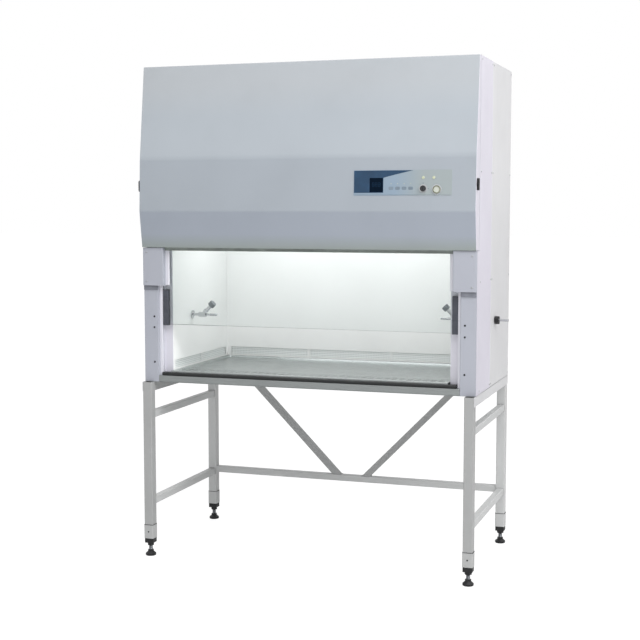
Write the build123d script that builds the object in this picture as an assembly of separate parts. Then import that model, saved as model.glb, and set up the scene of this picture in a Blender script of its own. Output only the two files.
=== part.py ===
from build123d import *
import math
import os

# Biosafety cabinet on an open stand. Millimetres, +Z up, X to the right, front towards -Y.
# The origin is on the floor at the centre of the footprint.

# ---- driving dimensions ----
cabinet_width = 1460.0
cabinet_depth = 750.0  # widest plane of the fascia to the back panel
overall_height = 2120.0
stand_height = 768.0  # top of the stand's rails
work_surface_z = 818.0
aperture_height = 200.0  # sash at its working height
chamber_width = 1230.0
sheet = 1.5  # folded steel sheet
fascia_bottom_z = 1352.0
fascia_seam_z = 1507.0  # widest line of the fascia
fascia_bend_z = 1720.0
fascia_bottom_setback = 22.0
fascia_bend_setback = 9.0
fascia_top_setback = 58.0
fascia_cheek_depth = 70.0
leg_size = 40.0
stretcher_size = 30.0
tube_wall = 2.0
collar_wall = 1.5
sash_thickness = 6.0
sash_height = 620.0

# ---- key switch, which stands proudest of the front ----
key_radius = 12.0
key_reach = 10.0
key_x = 517.0
key_z = 1597.0
facet_rise = fascia_bend_z - fascia_seam_z
facet_tilt = math.degrees(math.atan2(fascia_bend_setback, facet_rise))
facet_cos = math.cos(math.radians(facet_tilt))
facet_sin = math.sin(math.radians(facet_tilt))
key_setback = fascia_bend_setback * (key_z - fascia_seam_z) / facet_rise
key_proud = key_reach * facet_cos + key_radius * facet_sin - key_setback

# ---- planes of the cabinet, front to back ----
overall_depth = cabinet_depth + key_proud
front_y = -overall_depth / 2 + key_proud
rear_y = overall_depth / 2
leg_front_y = front_y + 10.0
upper_post_y = front_y + 28.0
lower_post_y = front_y + 39.0
guide_front_y = front_y + 53.0
sash_y = front_y + 67.0  # middle of the glass
guide_rear_y = front_y + 83.0
fascia_rear_y = front_y + fascia_cheek_depth
hinge_y = fascia_rear_y + 3.5
seam_y = front_y + 327.0
chamber_back_y = front_y + 685.0
bead_depth = 3.0
back_y = rear_y - bead_depth  # outer face of the back panel between its beads
half_width = cabinet_width / 2
half_chamber = chamber_width / 2
inner_x = half_width - sheet  # inside of the side covers
floor_z = stand_height + sheet  # top of the base pan
chamber_top_z = 1490.0
top_sheet_z = overall_height - sheet


def block(x0, x1, y0, y1, z0, z1):
    """Rectangular solid between two corners."""
    return Pos((x0 + x1) / 2, (y0 + y1) / 2, (z0 + z1) / 2) * Box(x1 - x0, y1 - y0, z1 - z0)


def mirrored(shape):
    """The same piece on the other side of the cabinet."""
    return mirror(shape, Plane.YZ)


def pair(shape):
    """A right-hand piece and its left-hand twin, as two solids."""
    return Compound(children=[shape, mirrored(shape)])


def group(shapes):
    return Compound(children=list(shapes))


def sheet_section(points, bend=2.0, thickness=sheet, side=Side.LEFT):
    """Closed section of a folded sheet whose one face runs through the points."""
    line = Wire(FilletPolyline(*points, radius=bend).edges())
    return make_face(offset(line, thickness, kind=Kind.INTERSECTION, side=side, closed=True).edges())


def upright_extrusion(section, z0, z1):
    """Section drawn in plan, pulled up from z0 to z1."""
    return Pos(0, 0, z0) * extrude(section, amount=z1 - z0)


def cross_extrusion(section, x0, x1):
    """Section drawn in side view (Y, Z), pulled across from x0 to x1."""
    return Pos(x0, 0, 0) * extrude(Plane.YZ * section, amount=x1 - x0)


def square_tube(size, length, corner=3.0):
    """Square tube standing on the XY plane, open at both ends."""
    outside = RectangleRounded(size, size, corner)
    inside = Rectangle(size - 2 * tube_wall, size - 2 * tube_wall)
    return extrude(outside - inside, amount=length)


def bar_along_x(size, x0, x1, y, z):
    return Pos(x0, y, z) * Rot(0, 90, 0) * square_tube(size, x1 - x0)


def bar_along_y(size, x, y0, y1, z):
    return Pos(x, y0, z) * Rot(-90, 0, 0) * square_tube(size, y1 - y0)


def rod(radius, start, end):
    """Round bar between two points."""
    along = Vector(*end) - Vector(*start)
    return Plane(origin=start, z_dir=along) * extrude(Circle(radius), amount=along.length)


# ---- stand ----
leg_x = half_width - collar_wall - leg_size / 2
leg_front_centre_y = leg_front_y + leg_size / 2
pad_radius = 23.0
leg_rear_centre_y = rear_y - pad_radius
leg_bottom_z = 78.0
plug_height = 20.0
collar_height = 60.0
upper_stretcher_z = 623.0
lower_stretcher_z = 240.0
rear_rail_z = 250.0
brace_width = 28.0
brace_foot_x = 72.0
brace_top_x = 528.0
spindle_radius = 8.0
running_gap = 0.05
leg_centres = [
    (-leg_x, leg_front_centre_y),
    (leg_x, leg_front_centre_y),
    (-leg_x, leg_rear_centre_y),
    (leg_x, leg_rear_centre_y),
]


def legs(y):
    leg = Pos(leg_x, y, leg_bottom_z) * square_tube(leg_size, stand_height - leg_bottom_z)
    return pair(leg)


def top_rails():
    """Side rails between front and rear legs, and the rear rail between the rear legs."""
    z = stand_height - leg_size / 2
    y0 = leg_front_centre_y + leg_size / 2
    y1 = leg_rear_centre_y - leg_size / 2
    side = bar_along_y(leg_size, leg_x, y0, y1, z)
    x1 = leg_x - leg_size / 2
    rear = bar_along_x(leg_size, -x1, x1, leg_rear_centre_y, z)
    return group([side, mirrored(side), rear])


def side_stretchers():
    y0 = leg_front_centre_y + leg_size / 2
    y1 = leg_rear_centre_y - leg_size / 2
    heights = (upper_stretcher_z, lower_stretcher_z)
    bars = [bar_along_y(stretcher_size, leg_x, y0, y1, z) for z in heights]
    return group(bars + [mirrored(bar) for bar in bars])


def rear_lower_rail():
    x1 = leg_x - leg_size / 2
    return bar_along_x(stretcher_size, -x1, x1, leg_rear_centre_y, rear_rail_z)


def cross_braces():
    """V brace in the rear plane: slanted tubes with ends cut level to sit on the rails."""
    z0 = rear_rail_z + stretcher_size / 2
    z1 = stand_height - leg_size
    slant = math.atan2(z1 - z0, brace_top_x - brace_foot_x)

    def outline(width):
        half = width / math.sin(slant) / 2
        corners = [
            (brace_foot_x - half, z0),
            (brace_foot_x + half, z0),
            (brace_top_x + half, z1),
            (brace_top_x - half, z1),
        ]
        return make_face(Polyline(*corners, close=True))

    outside = extrude(Plane.XZ * outline(brace_width), amount=brace_width / 2, both=True)
    bore = brace_width - 2 * tube_wall
    inside = extrude(Plane.XZ * outline(bore), amount=bore / 2, both=True)
    brace = Pos(0, leg_rear_centre_y, 0) * (outside - inside)
    return pair(brace)


def leg_plugs():
    """End plugs with a spigot up the tube and a bore for the foot's spindle."""
    spigot = leg_size - 2 * tube_wall - 0.4
    cap = extrude(RectangleRounded(leg_size, leg_size, 3.0), amount=plug_height)
    stem = Pos(0, 0, plug_height) * extrude(Rectangle(spigot, spigot), amount=40.0)
    bore = extrude(Circle(spindle_radius + running_gap), amount=plug_height + 40.0)
    plug = cap + stem - bore
    return group(Pos(x, y, leg_bottom_z - plug_height) * plug for x, y in leg_centres)


def leg_collars():
    """Clamp collars round the lower ends of the legs."""
    outer = leg_size + 2 * collar_wall
    ring = RectangleRounded(outer, outer, 4.0) - RectangleRounded(leg_size, leg_size, 3.0)
    collar = extrude(ring, amount=collar_height)
    return group(Pos(x, y, leg_bottom_z) * collar for x, y in leg_centres)


def levelling_foot(x, y):
    """Moulded pad, threaded spindle and lock nut."""
    neck_radius = 13.0
    pad_height = 25.0
    spindle_top = 106.0
    side_view = [
        (0, 0),
        (pad_radius - 2, 0),
        (pad_radius, 2),
        (pad_radius, 9),
        (neck_radius, 18),
        (neck_radius, pad_height),
        (spindle_radius, pad_height),
        (spindle_radius, spindle_top),
        (0, spindle_top),
    ]
    turned = revolve(Plane.XZ * make_face(Polyline(*side_view, close=True)), axis=Axis.Z)
    nut_top = leg_bottom_z - plug_height - 0.5
    nut = Pos(0, 0, nut_top - 12.0) * extrude(RegularPolygon(15.0, 6), amount=12.0)
    return Pos(x, y, 0) * (turned + nut)


# ---- carcass ----
guide_inner_x = 652.0
guide_outer_x = 676.0
upright_x = 688.0  # middle of the front uprights
upright_y = guide_rear_y + leg_size / 2
rear_upright_x = 704.0
rear_upright_y = back_y - 2 * sheet - leg_size / 2
pulley_x = 642.0
pulley_y = sash_y + 26.0
pulley_z = 2040.0
axle_radius = 5.0


def base_pan():
    """Floor of the cabinet with the drain pan's upstand under the work surface."""
    plate = block(-half_width, half_width, lower_post_y, back_y, stand_height, floor_z)
    y0 = guide_front_y + 4.0
    y1 = chamber_back_y - 4.0
    rim = Rectangle(chamber_width - 8, y1 - y0) - Rectangle(chamber_width - 11, y1 - y0 - 3)
    upstand = Pos(0, (y0 + y1) / 2, floor_z) * extrude(rim, amount=18.0)
    return plate + upstand


def frame_uprights():
    """Four square uprights; the front pair carries the sash pulleys' axles."""
    tube = square_tube(leg_size, top_sheet_z - floor_z)
    axle_start = (upright_x - leg_size / 2, pulley_y, pulley_z)
    axle = rod(axle_radius, axle_start, (pulley_x - 9, pulley_y, pulley_z))
    front = Pos(upright_x, upright_y, floor_z) * tube + axle
    rear = Pos(rear_upright_x, rear_upright_y, floor_z) * tube
    return group([front, mirrored(front), rear, mirrored(rear)])


def front_side_covers():
    """Folded side sheets from the posts back to the seam, cut back behind the fascia's cheek."""
    y0 = lower_post_y + sheet
    y1 = seam_y - 1.5
    section = sheet_section([(half_width, y0), (half_width, y1), (half_width - 25, y1)])
    cover = upright_extrusion(section, floor_z, overall_height)
    gap_y = fascia_rear_y + 5.0
    z0 = fascia_bottom_z - 2
    cover -= block(half_width - 30, half_width + 5, y0 - 5, gap_y, z0, overall_height + 5)
    return pair(cover - lid_relief())


def lid_relief():
    """Room at the top of the side covers for the lid's turned-down edge."""
    return block(half_width - 40, inner_x, front_y, rear_y, top_sheet_z - lid_edge, overall_height + 5)


def rear_side_covers():
    y0 = seam_y + 1.5
    y1 = back_y - sheet
    section = sheet_section([(half_width - 25, y0), (half_width, y0), (half_width, y1)])
    return pair(upright_extrusion(section, floor_z, overall_height) - lid_relief())


bead_x = 330.0
bead_z = 1440.0
bead_length = 1150.0
bead_width = 26.0
bead_slant = 20.0  # degrees by which the beads' sides lean in
inlet_x = 560.0
inlet_z = 1960.0
inlet_width = 27.0
inlet_height = 19.5


def on_back(x, z, lift=0.0):
    """Place on the back panel: local Y up, local Z out of the panel."""
    face = Plane(origin=(x, back_y, z), x_dir=(-1, 0, 0), z_dir=(0, 1, 0))
    return face.location * Pos(0, 0, lift)


def back_panel():
    """Back sheet with upright beads pressed outwards and a cut-out for the mains inlet."""
    plate = block(-half_width, half_width, back_y - sheet, back_y, floor_z, overall_height)
    ridge = SlotOverall(bead_length, bead_width, rotation=90)
    hollow = SlotOverall(bead_length - 2 * sheet, bead_width - 2 * sheet, rotation=90)
    for x in (-bead_x, 0, bead_x):
        plate += on_back(x, bead_z) * extrude(ridge, amount=bead_depth, taper=bead_slant)
        plate -= on_back(x, bead_z, -sheet) * extrude(hollow, amount=bead_depth, taper=bead_slant)
    cut_out = extrude(Rectangle(inlet_width + 0.2, inlet_height + 0.2), amount=20.0)
    return plate - on_back(inlet_x, inlet_z, -10.0) * cut_out


def mains_inlet():
    """Three-pin appliance inlet: flange with ears, shroud round the pins, body behind the panel."""
    recess_depth = 14.0
    body_depth = 24.0
    inlet = extrude(RectangleRounded(50.0, 22.5, 5.0), amount=2.4)
    inlet += Pos(0, 0, -body_depth) * extrude(Rectangle(inlet_width, inlet_height), amount=body_depth)
    mouth = chamfer(Rectangle(24.0, 16.5).vertices().sort_by(Axis.Y)[-2:], 4.0)
    inlet -= Pos(0, 0, -recess_depth) * extrude(mouth, amount=20.0)
    for x, y in ((-7.0, -2.0), (0.0, 3.0), (7.0, -2.0)):
        inlet += Pos(x, y, -recess_depth) * extrude(Rectangle(2.0, 4.0), amount=11.0)
    for x in (-20.0, 20.0):
        inlet -= Pos(x, 0, 0) * extrude(Circle(1.7), amount=5.0)
    return on_back(inlet_x, inlet_z) * inlet


lid_edge = 18.5  # height of the lid's turned-down edges
exhaust_half_x = 280.0
exhaust_y0 = front_y + 220.0
exhaust_y1 = front_y + 620.0


def top_panel():
    """Lid with turned-down edges and an opening for the exhaust."""
    y0 = fascia_rear_y + 7.0
    y1 = back_y - sheet
    x1 = inner_x
    lid = block(-x1, x1, y0, y1, top_sheet_z - lid_edge, overall_height)
    hollow = block(-x1 + sheet, x1 - sheet, y0 - 5, y1 - sheet, top_sheet_z - 30, top_sheet_z)
    x2 = exhaust_half_x
    opening = block(-x2, x2, exhaust_y0, exhaust_y1, top_sheet_z - 5, overall_height + 5)
    return lid - hollow - opening


def upper_post_covers():
    """Wide covers over the sash's side channels, from the fascia down to the step."""
    points = [
        (634.0, guide_front_y - 2),
        (634.0, upper_post_y),
        (half_width, upper_post_y),
        (half_width, lower_post_y),
    ]
    section = sheet_section(points, bend=3.0)
    return pair(upright_extrusion(section, 1187.0, fascia_bottom_z - 2))


def lower_post_covers():
    """Narrow covers that run the full height of the posts."""
    points = [(664.0, guide_front_y - 1), (664.0, lower_post_y), (half_width, lower_post_y)]
    section = sheet_section(points, bend=3.0)
    return pair(upright_extrusion(section, floor_z, fascia_bottom_z - 2))


def sash_guides():
    """Extruded channels in which the glass runs."""
    depth = guide_rear_y - guide_front_y
    middle = (guide_front_y + guide_rear_y) / 2
    x_middle = (guide_inner_x + guide_outer_x) / 2
    body = Pos(x_middle, middle) * RectangleRounded(guide_outer_x - guide_inner_x, depth, 2.0)
    slot = Pos(guide_inner_x + 7.0, sash_y) * Rectangle(22.0, sash_thickness + 4.0)
    relief_x = guide_outer_x - 3.0
    for y in (guide_front_y + 5.0, guide_rear_y - 5.0):
        body -= Pos(relief_x, y) * Rectangle(10.0, 5.0)
    return pair(upright_extrusion(body - slot, floor_z, 1950.0))


def front_rail():
    """Folded rail across the front, under the black strip."""
    y0 = lower_post_y
    y1 = guide_front_y - 1
    section = sheet_section([(y1, floor_z), (y0, floor_z), (y0, 797.0), (y1, 797.0)], side=Side.RIGHT)
    return cross_extrusion(section, -664.0, 664.0)


def armrest_strip():
    """Black strip along the front edge, rounded where the arms rest."""
    y0 = lower_post_y - 2
    y1 = guide_front_y + 12
    profile = Pos((y0 + y1) / 2, 804.0) * Rectangle(y1 - y0, 14.0)
    strip = cross_extrusion(profile, -648.0, 648.0)
    front_edges = strip.edges().filter_by(Axis.X).sort_by(Axis.Y)[:2]
    return fillet(front_edges, 6.0)


# ---- working chamber ----
ledge_z = 800.0
tray_half_x = half_chamber - 3.0
grille_y0 = guide_front_y
grille_y1 = front_y + 134.0
tray_y0 = grille_y1 + 3.0
tray_y1 = chamber_back_y - 3.0
slot_z0 = 824.0
slot_z1 = 858.0


def slot_row(length, count, bridge=8.0):
    """Centres and width of equal slots in a row with narrow bridges between them."""
    pitch = length / count
    return [-length / 2 + pitch * (i + 0.5) for i in range(count)], pitch - bridge


def chamber_side():
    """Side wall with a front flange and a row of return-air slots at its foot."""
    flange_x = upright_x - leg_size / 2
    points = [(flange_x, guide_rear_y), (half_chamber, guide_rear_y), (half_chamber, chamber_back_y)]
    wall = upright_extrusion(sheet_section(points, side=Side.RIGHT), floor_z, chamber_top_z)
    middle = (chamber_back_y + guide_rear_y) / 2
    centres, width = slot_row(chamber_back_y - guide_rear_y - 30.0, 2)
    slot = Box(10.0, width, slot_z1 - slot_z0)
    return wall - [Pos(half_chamber, middle + y, (slot_z0 + slot_z1) / 2) * slot for y in centres]


def chamber_back():
    x1 = half_chamber + 10.0
    wall = block(-x1, x1, chamber_back_y, chamber_back_y + sheet, floor_z, chamber_top_z)
    centres, width = slot_row(chamber_width - 30.0, 3)
    slot = Box(width, 10.0, slot_z1 - slot_z0)
    return wall - [Pos(x, chamber_back_y, (slot_z0 + slot_z1) / 2) * slot for x in centres]


def tray_ledges():
    """Angles on three walls that carry the tray and the front grille."""
    top_z = ledge_z + sheet
    side_line = [(half_chamber, ledge_z - 20), (half_chamber, top_z), (half_chamber - 15, top_z)]
    side = extrude(Plane.XZ * sheet_section(side_line), amount=chamber_back_y - guide_rear_y - 20)
    side = Pos(0, chamber_back_y - 16, 0) * side
    back_line = [
        (chamber_back_y, ledge_z - 20),
        (chamber_back_y, ledge_z + sheet),
        (chamber_back_y - 15, ledge_z + sheet),
    ]
    back = cross_extrusion(sheet_section(back_line), -half_chamber, half_chamber)
    return group([side, mirrored(side), back])


def work_tray():
    """Pressed tray: raised rim, dished middle, turned-down edges, open below."""
    height = work_surface_z - ledge_z - sheet
    x = tray_half_x
    depth = tray_y1 - tray_y0
    body = extrude(RectangleRounded(2 * x, depth, 4.0), amount=height)
    rim = 16.0
    dish_top = RectangleRounded(2 * (x - rim), depth - 2 * rim, 12.0)
    body -= Pos(0, 0, height) * extrude(dish_top, amount=-7.0, taper=30)
    shell = offset(body, amount=-sheet, openings=[body.faces().sort_by(Axis.Z)[0]])
    return Pos(0, (tray_y0 + tray_y1) / 2, ledge_z + sheet) * shell


def front_grille():
    """Intake grille with two rows of slots, lipped on the black strip."""
    top = work_surface_z
    line = [(grille_y0, 811.0), (grille_y0, top), (grille_y1, top), (grille_y1, ledge_z + sheet)]
    plate = cross_extrusion(sheet_section(line, side=Side.RIGHT), -tray_half_x, tray_half_x)
    centres, width = slot_row(2 * tray_half_x - 40, 36, bridge=10.0)
    for y in (grille_y0 + 28, grille_y0 + 54):
        for x in centres:
            plate -= block(x - width / 2, x + width / 2, y - 4, y + 4, top - 5, top + 5)
    return plate


def diffuser_screen():
    """Screen under the supply filter, resting on the chamber walls."""
    y1 = chamber_back_y + sheet
    return block(-617.0, 617.0, guide_rear_y + 2, y1, chamber_top_z, chamber_top_z + sheet)


# ---- air path ----
filter_bottom_z = chamber_top_z + sheet
filter_height = 90.0
deck_z = filter_bottom_z + filter_height
blower_y = front_y + 431.0
blower_z = 1800.0
wheel_radius = 140.0
wheel_inner_radius = 112.0
wheel_width = 180.0
blade_count = 36
scroll_start_radius = 152.0
scroll_growth = 20.0  # added to the radius at each quarter turn
tongue_angle = 20.0
blade_thickness = 1.4
housing_width = 214.0
shaft_radius = 8.0


def framed_filter(x1, y0, y1, z0, z1):
    """Filter cell: a frame with the pleat pack set back on both faces."""
    cell = block(-x1, x1, y0, y1, z0, z1)
    rim = 18.0
    for low, high in ((z0 - 1, z0 + 6), (z1 - 6, z1 + 1)):
        cell -= block(-x1 + rim, x1 - rim, y0 + rim, y1 - rim, low, high)
    return cell


def supply_filter():
    return framed_filter(612.0, guide_rear_y + 4, chamber_back_y - 2, filter_bottom_z, deck_z)


def exhaust_filter():
    x1 = exhaust_half_x + 20
    return framed_filter(x1, exhaust_y0 - 20, exhaust_y1 + 20, top_sheet_z - filter_height, top_sheet_z)


def scroll_line(inset, skipped=0.0):
    """Volute of four quarter arcs, its radius growing at each quarter; the first may start late."""
    centre = Vector(0, 0)
    edges = []
    direction = 180
    for quarter in range(4):
        radius = scroll_start_radius + scroll_growth * quarter - inset
        edges.append(CenterArc(centre, radius, direction + skipped, 90 - skipped))
        skipped = 0.0
        direction += 90
        turn = math.radians(direction)
        centre = centre - Vector(math.cos(turn), math.sin(turn)) * scroll_growth
    return edges


def scroll_face(inset, outlet_z, skipped=0.0):
    """Volute with a straight outlet down; what the first arc skips is the solid tongue of the scroll."""
    arcs = scroll_line(inset, skipped)
    start = arcs[0] @ 0
    end = arcs[-1] @ 1
    wall_x = -scroll_start_radius - inset
    outlet = Polyline(end, (end.X, outlet_z), (wall_x, outlet_z), (wall_x, start.Y), start)
    return make_face([arc.edge() for arc in arcs] + list(outlet.edges()))


def blower_housing():
    """Scroll housing: spiral wrap, two side plates, inlet on the left, outlet through the deck."""
    outlet = deck_z + sheet - blower_z
    half = housing_width / 2
    outside = cross_extrusion(scroll_face(0, outlet, tongue_angle), -half, half)
    inside = cross_extrusion(scroll_face(sheet, outlet - 5), -half + sheet, half - sheet)
    inlet = rod(104.0, (-half - 5, 0, 0), (-half + 5, 0, 0))
    shaft_hole = rod(shaft_radius + 6, (half - 5, 0, 0), (half + 5, 0, 0))
    return Pos(0, blower_y, blower_z) * (outside - inside - inlet - shaft_hole)


def blower_wheel():
    """Forward-curved blades between a back plate and a ring, on a hub and shaft."""
    half = wheel_width / 2
    span = wheel_radius - wheel_inner_radius
    tip = (wheel_radius - 1.0, 0)
    root_angle = math.radians(-9)
    root = (wheel_inner_radius * math.cos(root_angle), wheel_inner_radius * math.sin(root_angle))
    curve = RadiusArc(root, tip, -1.1 * span)
    middle_line = Wire(curve.edges())
    outline = offset(middle_line, blade_thickness, kind=Kind.INTERSECTION, side=Side.LEFT, closed=True)
    blade = extrude(make_face(outline.edges()), amount=wheel_width)
    wheel = extrude(Circle(wheel_radius) - Circle(wheel_inner_radius - 2), amount=3.0)
    wheel += Pos(0, 0, wheel_width - 3) * extrude(Circle(wheel_radius), amount=3.0)
    wheel += [Rot(0, 0, 360.0 / blade_count * i) * blade for i in range(blade_count)]
    wheel += Pos(0, 0, wheel_width - 45) * extrude(Circle(24.0), amount=45.0)
    wheel += Pos(0, 0, wheel_width) * extrude(Circle(shaft_radius), amount=52.0)
    return Pos(-half, blower_y, blower_z) * Rot(0, 90, 0) * wheel


def blower_motor():
    """Motor with cooling ribs, bolted to the housing's side plate."""
    x0 = housing_width / 2
    body = extrude(Circle(74.0), amount=110.0)
    for i in range(5):
        ring = Circle(80.0) - Circle(70.0)
        body -= Pos(0, 0, 18.0 + 16.0 * i) * extrude(ring, amount=7.0)
    body += extrude(Circle(92.0), amount=5.0)
    body -= extrude(Circle(shaft_radius + running_gap), amount=46.0)
    return Pos(x0, blower_y, blower_z) * Rot(0, 90, 0) * body


def filter_deck():
    """Plate between filter and blower, with the blower's outlet cut through it."""
    end = scroll_line(0)[-1] @ 1
    start = scroll_line(0)[0] @ 0
    plate = block(-616.0, 616.0, guide_rear_y + 4, chamber_back_y, deck_z, deck_z + sheet)
    y0 = blower_y + end.X + 4
    y1 = blower_y + start.X - 4
    return plate - block(-housing_width / 2 + 4, housing_width / 2 - 4, y0, y1, deck_z - 5, deck_z + 5)


def exhaust_grille():
    """Flush grille in the top panel, three columns of slots."""
    x1 = exhaust_half_x - 0.5
    y0 = exhaust_y0 + 0.5
    y1 = exhaust_y1 - 0.5
    plate = block(-x1, x1, y0, y1, top_sheet_z, overall_height)
    columns, width = slot_row(2 * x1 - 30, 3, bridge=20.0)
    rows, height = slot_row(y1 - y0 - 30, 16, bridge=12.0)
    middle = (y0 + y1) / 2
    slot = Box(width, height, 20.0)
    return plate - [Pos(x, middle + y, top_sheet_z) * slot for x in columns for y in rows]


# ---- sash ----
sash_bottom_z = work_surface_z + aperture_height
sash_half_x = 668.0
grip_x0 = 626.0
grip_x1 = 654.0 - 2.5
grip_height = 154.0
weight_x = pulley_x
weight_y = pulley_y + 26.0
weight_z0 = 1450.0


def sash_glass():
    y0 = sash_y - sash_thickness / 2
    z1 = sash_bottom_z + sash_height
    glass = block(-sash_half_x, sash_half_x, y0, y0 + sash_thickness, sash_bottom_z, z1)
    bottom_edges = glass.edges().filter_by(Axis.X).sort_by(Axis.Z)[:2]
    return chamfer(bottom_edges, 1.0)


def sash_grips():
    """Clamp grips wrapped round the glass's lower corners."""
    reach = sash_thickness / 2 + 6.0
    z0 = sash_bottom_z - 4.0
    middle_x = (grip_x0 + grip_x1) / 2
    body = Pos(middle_x, sash_y) * RectangleRounded(grip_x1 - grip_x0, 2 * reach, 3.0)
    grip = upright_extrusion(body, z0, z0 + grip_height)
    y0 = sash_y - sash_thickness / 2
    grip -= block(grip_x0 - 5, grip_x1 + 5, y0, y0 + sash_thickness, sash_bottom_z, z0 + grip_height + 5)
    rib_front = sash_y - reach
    for i in range(5):
        z = z0 + 28 + 22 * i
        grip -= block(grip_x0 - 5, grip_x1 + 5, rib_front - 1, rib_front + 1.5, z, z + 8)
    return pair(grip)


def counterweight():
    weight = Pos(weight_x, weight_y, weight_z0) * extrude(RectangleRounded(42.0, 58.0, 3.0), amount=320.0)
    eye_z = weight_z0 + 320.0
    eye = block(weight_x - 3, weight_x + 3, weight_y - 9, weight_y + 9, eye_z, eye_z + 22)
    eye -= rod(4.0, (weight_x - 10, weight_y, eye_z + 12), (weight_x + 10, weight_y, eye_z + 12))
    return weight + eye


def pulley():
    """Grooved wheel for the sash cord, turned on the upright's axle."""
    half = 6.0
    side_view = [
        (axle_radius + running_gap, -half),
        (30.0, -half),
        (26.0, -1.5),
        (26.0, 1.5),
        (30.0, half),
        (axle_radius + running_gap, half),
    ]
    wheel = revolve(Plane.XZ * make_face(Polyline(*side_view, close=True)), axis=Axis.Z)
    for i in range(5):
        spot = Rot(0, 0, 72 * i) * Pos(15.5, 0, -half)
        wheel -= spot * extrude(Circle(5.0), amount=2 * half)
    return Pos(pulley_x, pulley_y, pulley_z) * Rot(0, 90, 0) * wheel


# ---- fascia ----
hinge_z = overall_height - 3.0
hinge_x = 450.0
hinge_length = 80.0
pin_radius = 1.5
knuckle_radius = 3.0
panel_thickness = 1.2
panel_x0 = 229.0
panel_x1 = 633.0
panel_z0 = 1570.0
panel_z1 = 1671.0
display_x0 = 296.0
display_x1 = 351.0
display_z0 = 1583.0
display_z1 = 1640.0
button_x = 572.0
button_z = 1593.0
button_radius = 16.0
lamp_xs = (517.0, 560.0)
lamp_z = 1640.0
catch_y = front_y + 21.0
catch_z = 1613.0
catch_length = 48.0
catch_stem = 4.0


def fascia_cover():
    """Hinged front shell in three facets, with folded cheeks, open at the back."""
    y = front_y
    outline = Polyline(
        (y + fascia_bottom_setback, fascia_bottom_z),
        (y, fascia_seam_z),
        (y + fascia_bend_setback, fascia_bend_z),
        (y + fascia_top_setback, overall_height),
        (fascia_rear_y, overall_height),
        (fascia_rear_y, fascia_bottom_z),
        close=True,
    )
    face = make_face(outline)
    bends = [v for v in face.vertices() if abs(v.Y - fascia_seam_z) < 1 or abs(v.Y - fascia_bend_z) < 1]
    face = fillet(bends, 40.0)
    top = [v for v in face.vertices() if v.Y > overall_height - 1 and v.X < fascia_rear_y - 1]
    face = fillet(top, 4.0)
    body = cross_extrusion(face, -half_width, half_width)
    side_edges = [
        e
        for side in (-half_width, half_width)
        for e in body.faces().filter_by(Axis.X).sort_by(lambda f: abs(f.center().X - side))[0].edges()
        if e.center().Y < fascia_rear_y - 1 and e.center().Z > fascia_bottom_z + 1
    ]
    body = fillet(side_edges, 2.5)
    shell = offset(body, amount=-sheet, openings=[body.faces().sort_by(Axis.Y)[-1]])
    lip = 20.0
    y_lip = y + fascia_bottom_setback + lip
    shell -= block(-inner_x, inner_x, y_lip, fascia_rear_y + 5, fascia_bottom_z - 5, fascia_bottom_z + 5)
    for x, z, radius in ((key_x, key_z, 5.0), (button_x, button_z, button_radius + 0.5)):
        shell -= on_panel(x, z, -10) * extrude(Circle(radius), amount=20)
    left = (-half_width - 5, catch_y, catch_z)
    right = (half_width + 5, catch_y, catch_z)
    return shell - rod(catch_stem + running_gap, left, right)


def on_panel(x, z, lift=0.0):
    """Place on the middle facet: local X along the front, local Z out of the facet."""
    setback = fascia_bend_setback * (z - fascia_seam_z) / facet_rise
    facet = Plane(origin=(x, front_y + setback, z), x_dir=(1, 0, 0), z_dir=(0, -facet_cos, facet_sin))
    return facet.location * Pos(0, 0, lift)


def panel_outline(x0, x1, z0, z1, corner):
    height = (z1 - z0) / facet_cos
    return RectangleRounded(x1 - x0, height, corner)


def control_panel():
    """Overlay plate on the middle facet, cut out for the display, key and button."""
    x = (panel_x0 + panel_x1) / 2
    z = (panel_z0 + panel_z1) / 2
    outline = panel_outline(panel_x0, panel_x1, panel_z0, panel_z1, 3.0)
    plate = on_panel(x, z) * extrude(outline, amount=panel_thickness)
    plate -= display_window()
    for hole_x, hole_z, radius in ((key_x, key_z, 5.0), (button_x, button_z, button_radius + 0.5)):
        plate -= on_panel(hole_x, hole_z, -5) * extrude(Circle(radius), amount=20)
    return plate


def display_window():
    x = (display_x0 + display_x1) / 2
    z = (display_z0 + display_z1) / 2
    outline = panel_outline(display_x0, display_x1, display_z0, display_z1, 1.5)
    window = on_panel(x, z) * extrude(outline, amount=panel_thickness + 0.6)
    return window


def pilot_lamps():
    """Two small domed lamps on the overlay."""
    dome = extrude(Circle(6.0), amount=2.0)
    dome = fillet(dome.edges().sort_by(Axis.Z)[-1], 1.5)
    return group(on_panel(x, lamp_z, panel_thickness) * dome for x in lamp_xs)


def key_switch():
    """Round switch knob with a key slot, on a stem through the fascia."""
    base = panel_thickness + 0.3
    height = key_reach - base
    stem_depth = 12.0 + base
    knob = extrude(Circle(key_radius), amount=height)
    knob = fillet(knob.edges().sort_by(Axis.Z)[-1], 1.5)
    knob -= Pos(0, 0, height - 3) * extrude(Rectangle(3.0, 13.0), amount=5)
    stem = Pos(0, 0, -stem_depth) * extrude(Circle(4.9), amount=stem_depth)
    return on_panel(key_x, key_z, base) * (knob + stem)


def start_button():
    """Push button whose rim stands in a ring round a dished face."""
    length = 14.0
    button = extrude(Circle(button_radius), amount=length)
    button = fillet(button.edges().sort_by(Axis.Z)[-1], 1.5)
    button -= Pos(0, 0, length - 1.5) * extrude(Circle(button_radius - 4.5), amount=5)
    return on_panel(button_x, button_z, panel_thickness + 4.0 - length) * button


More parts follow.
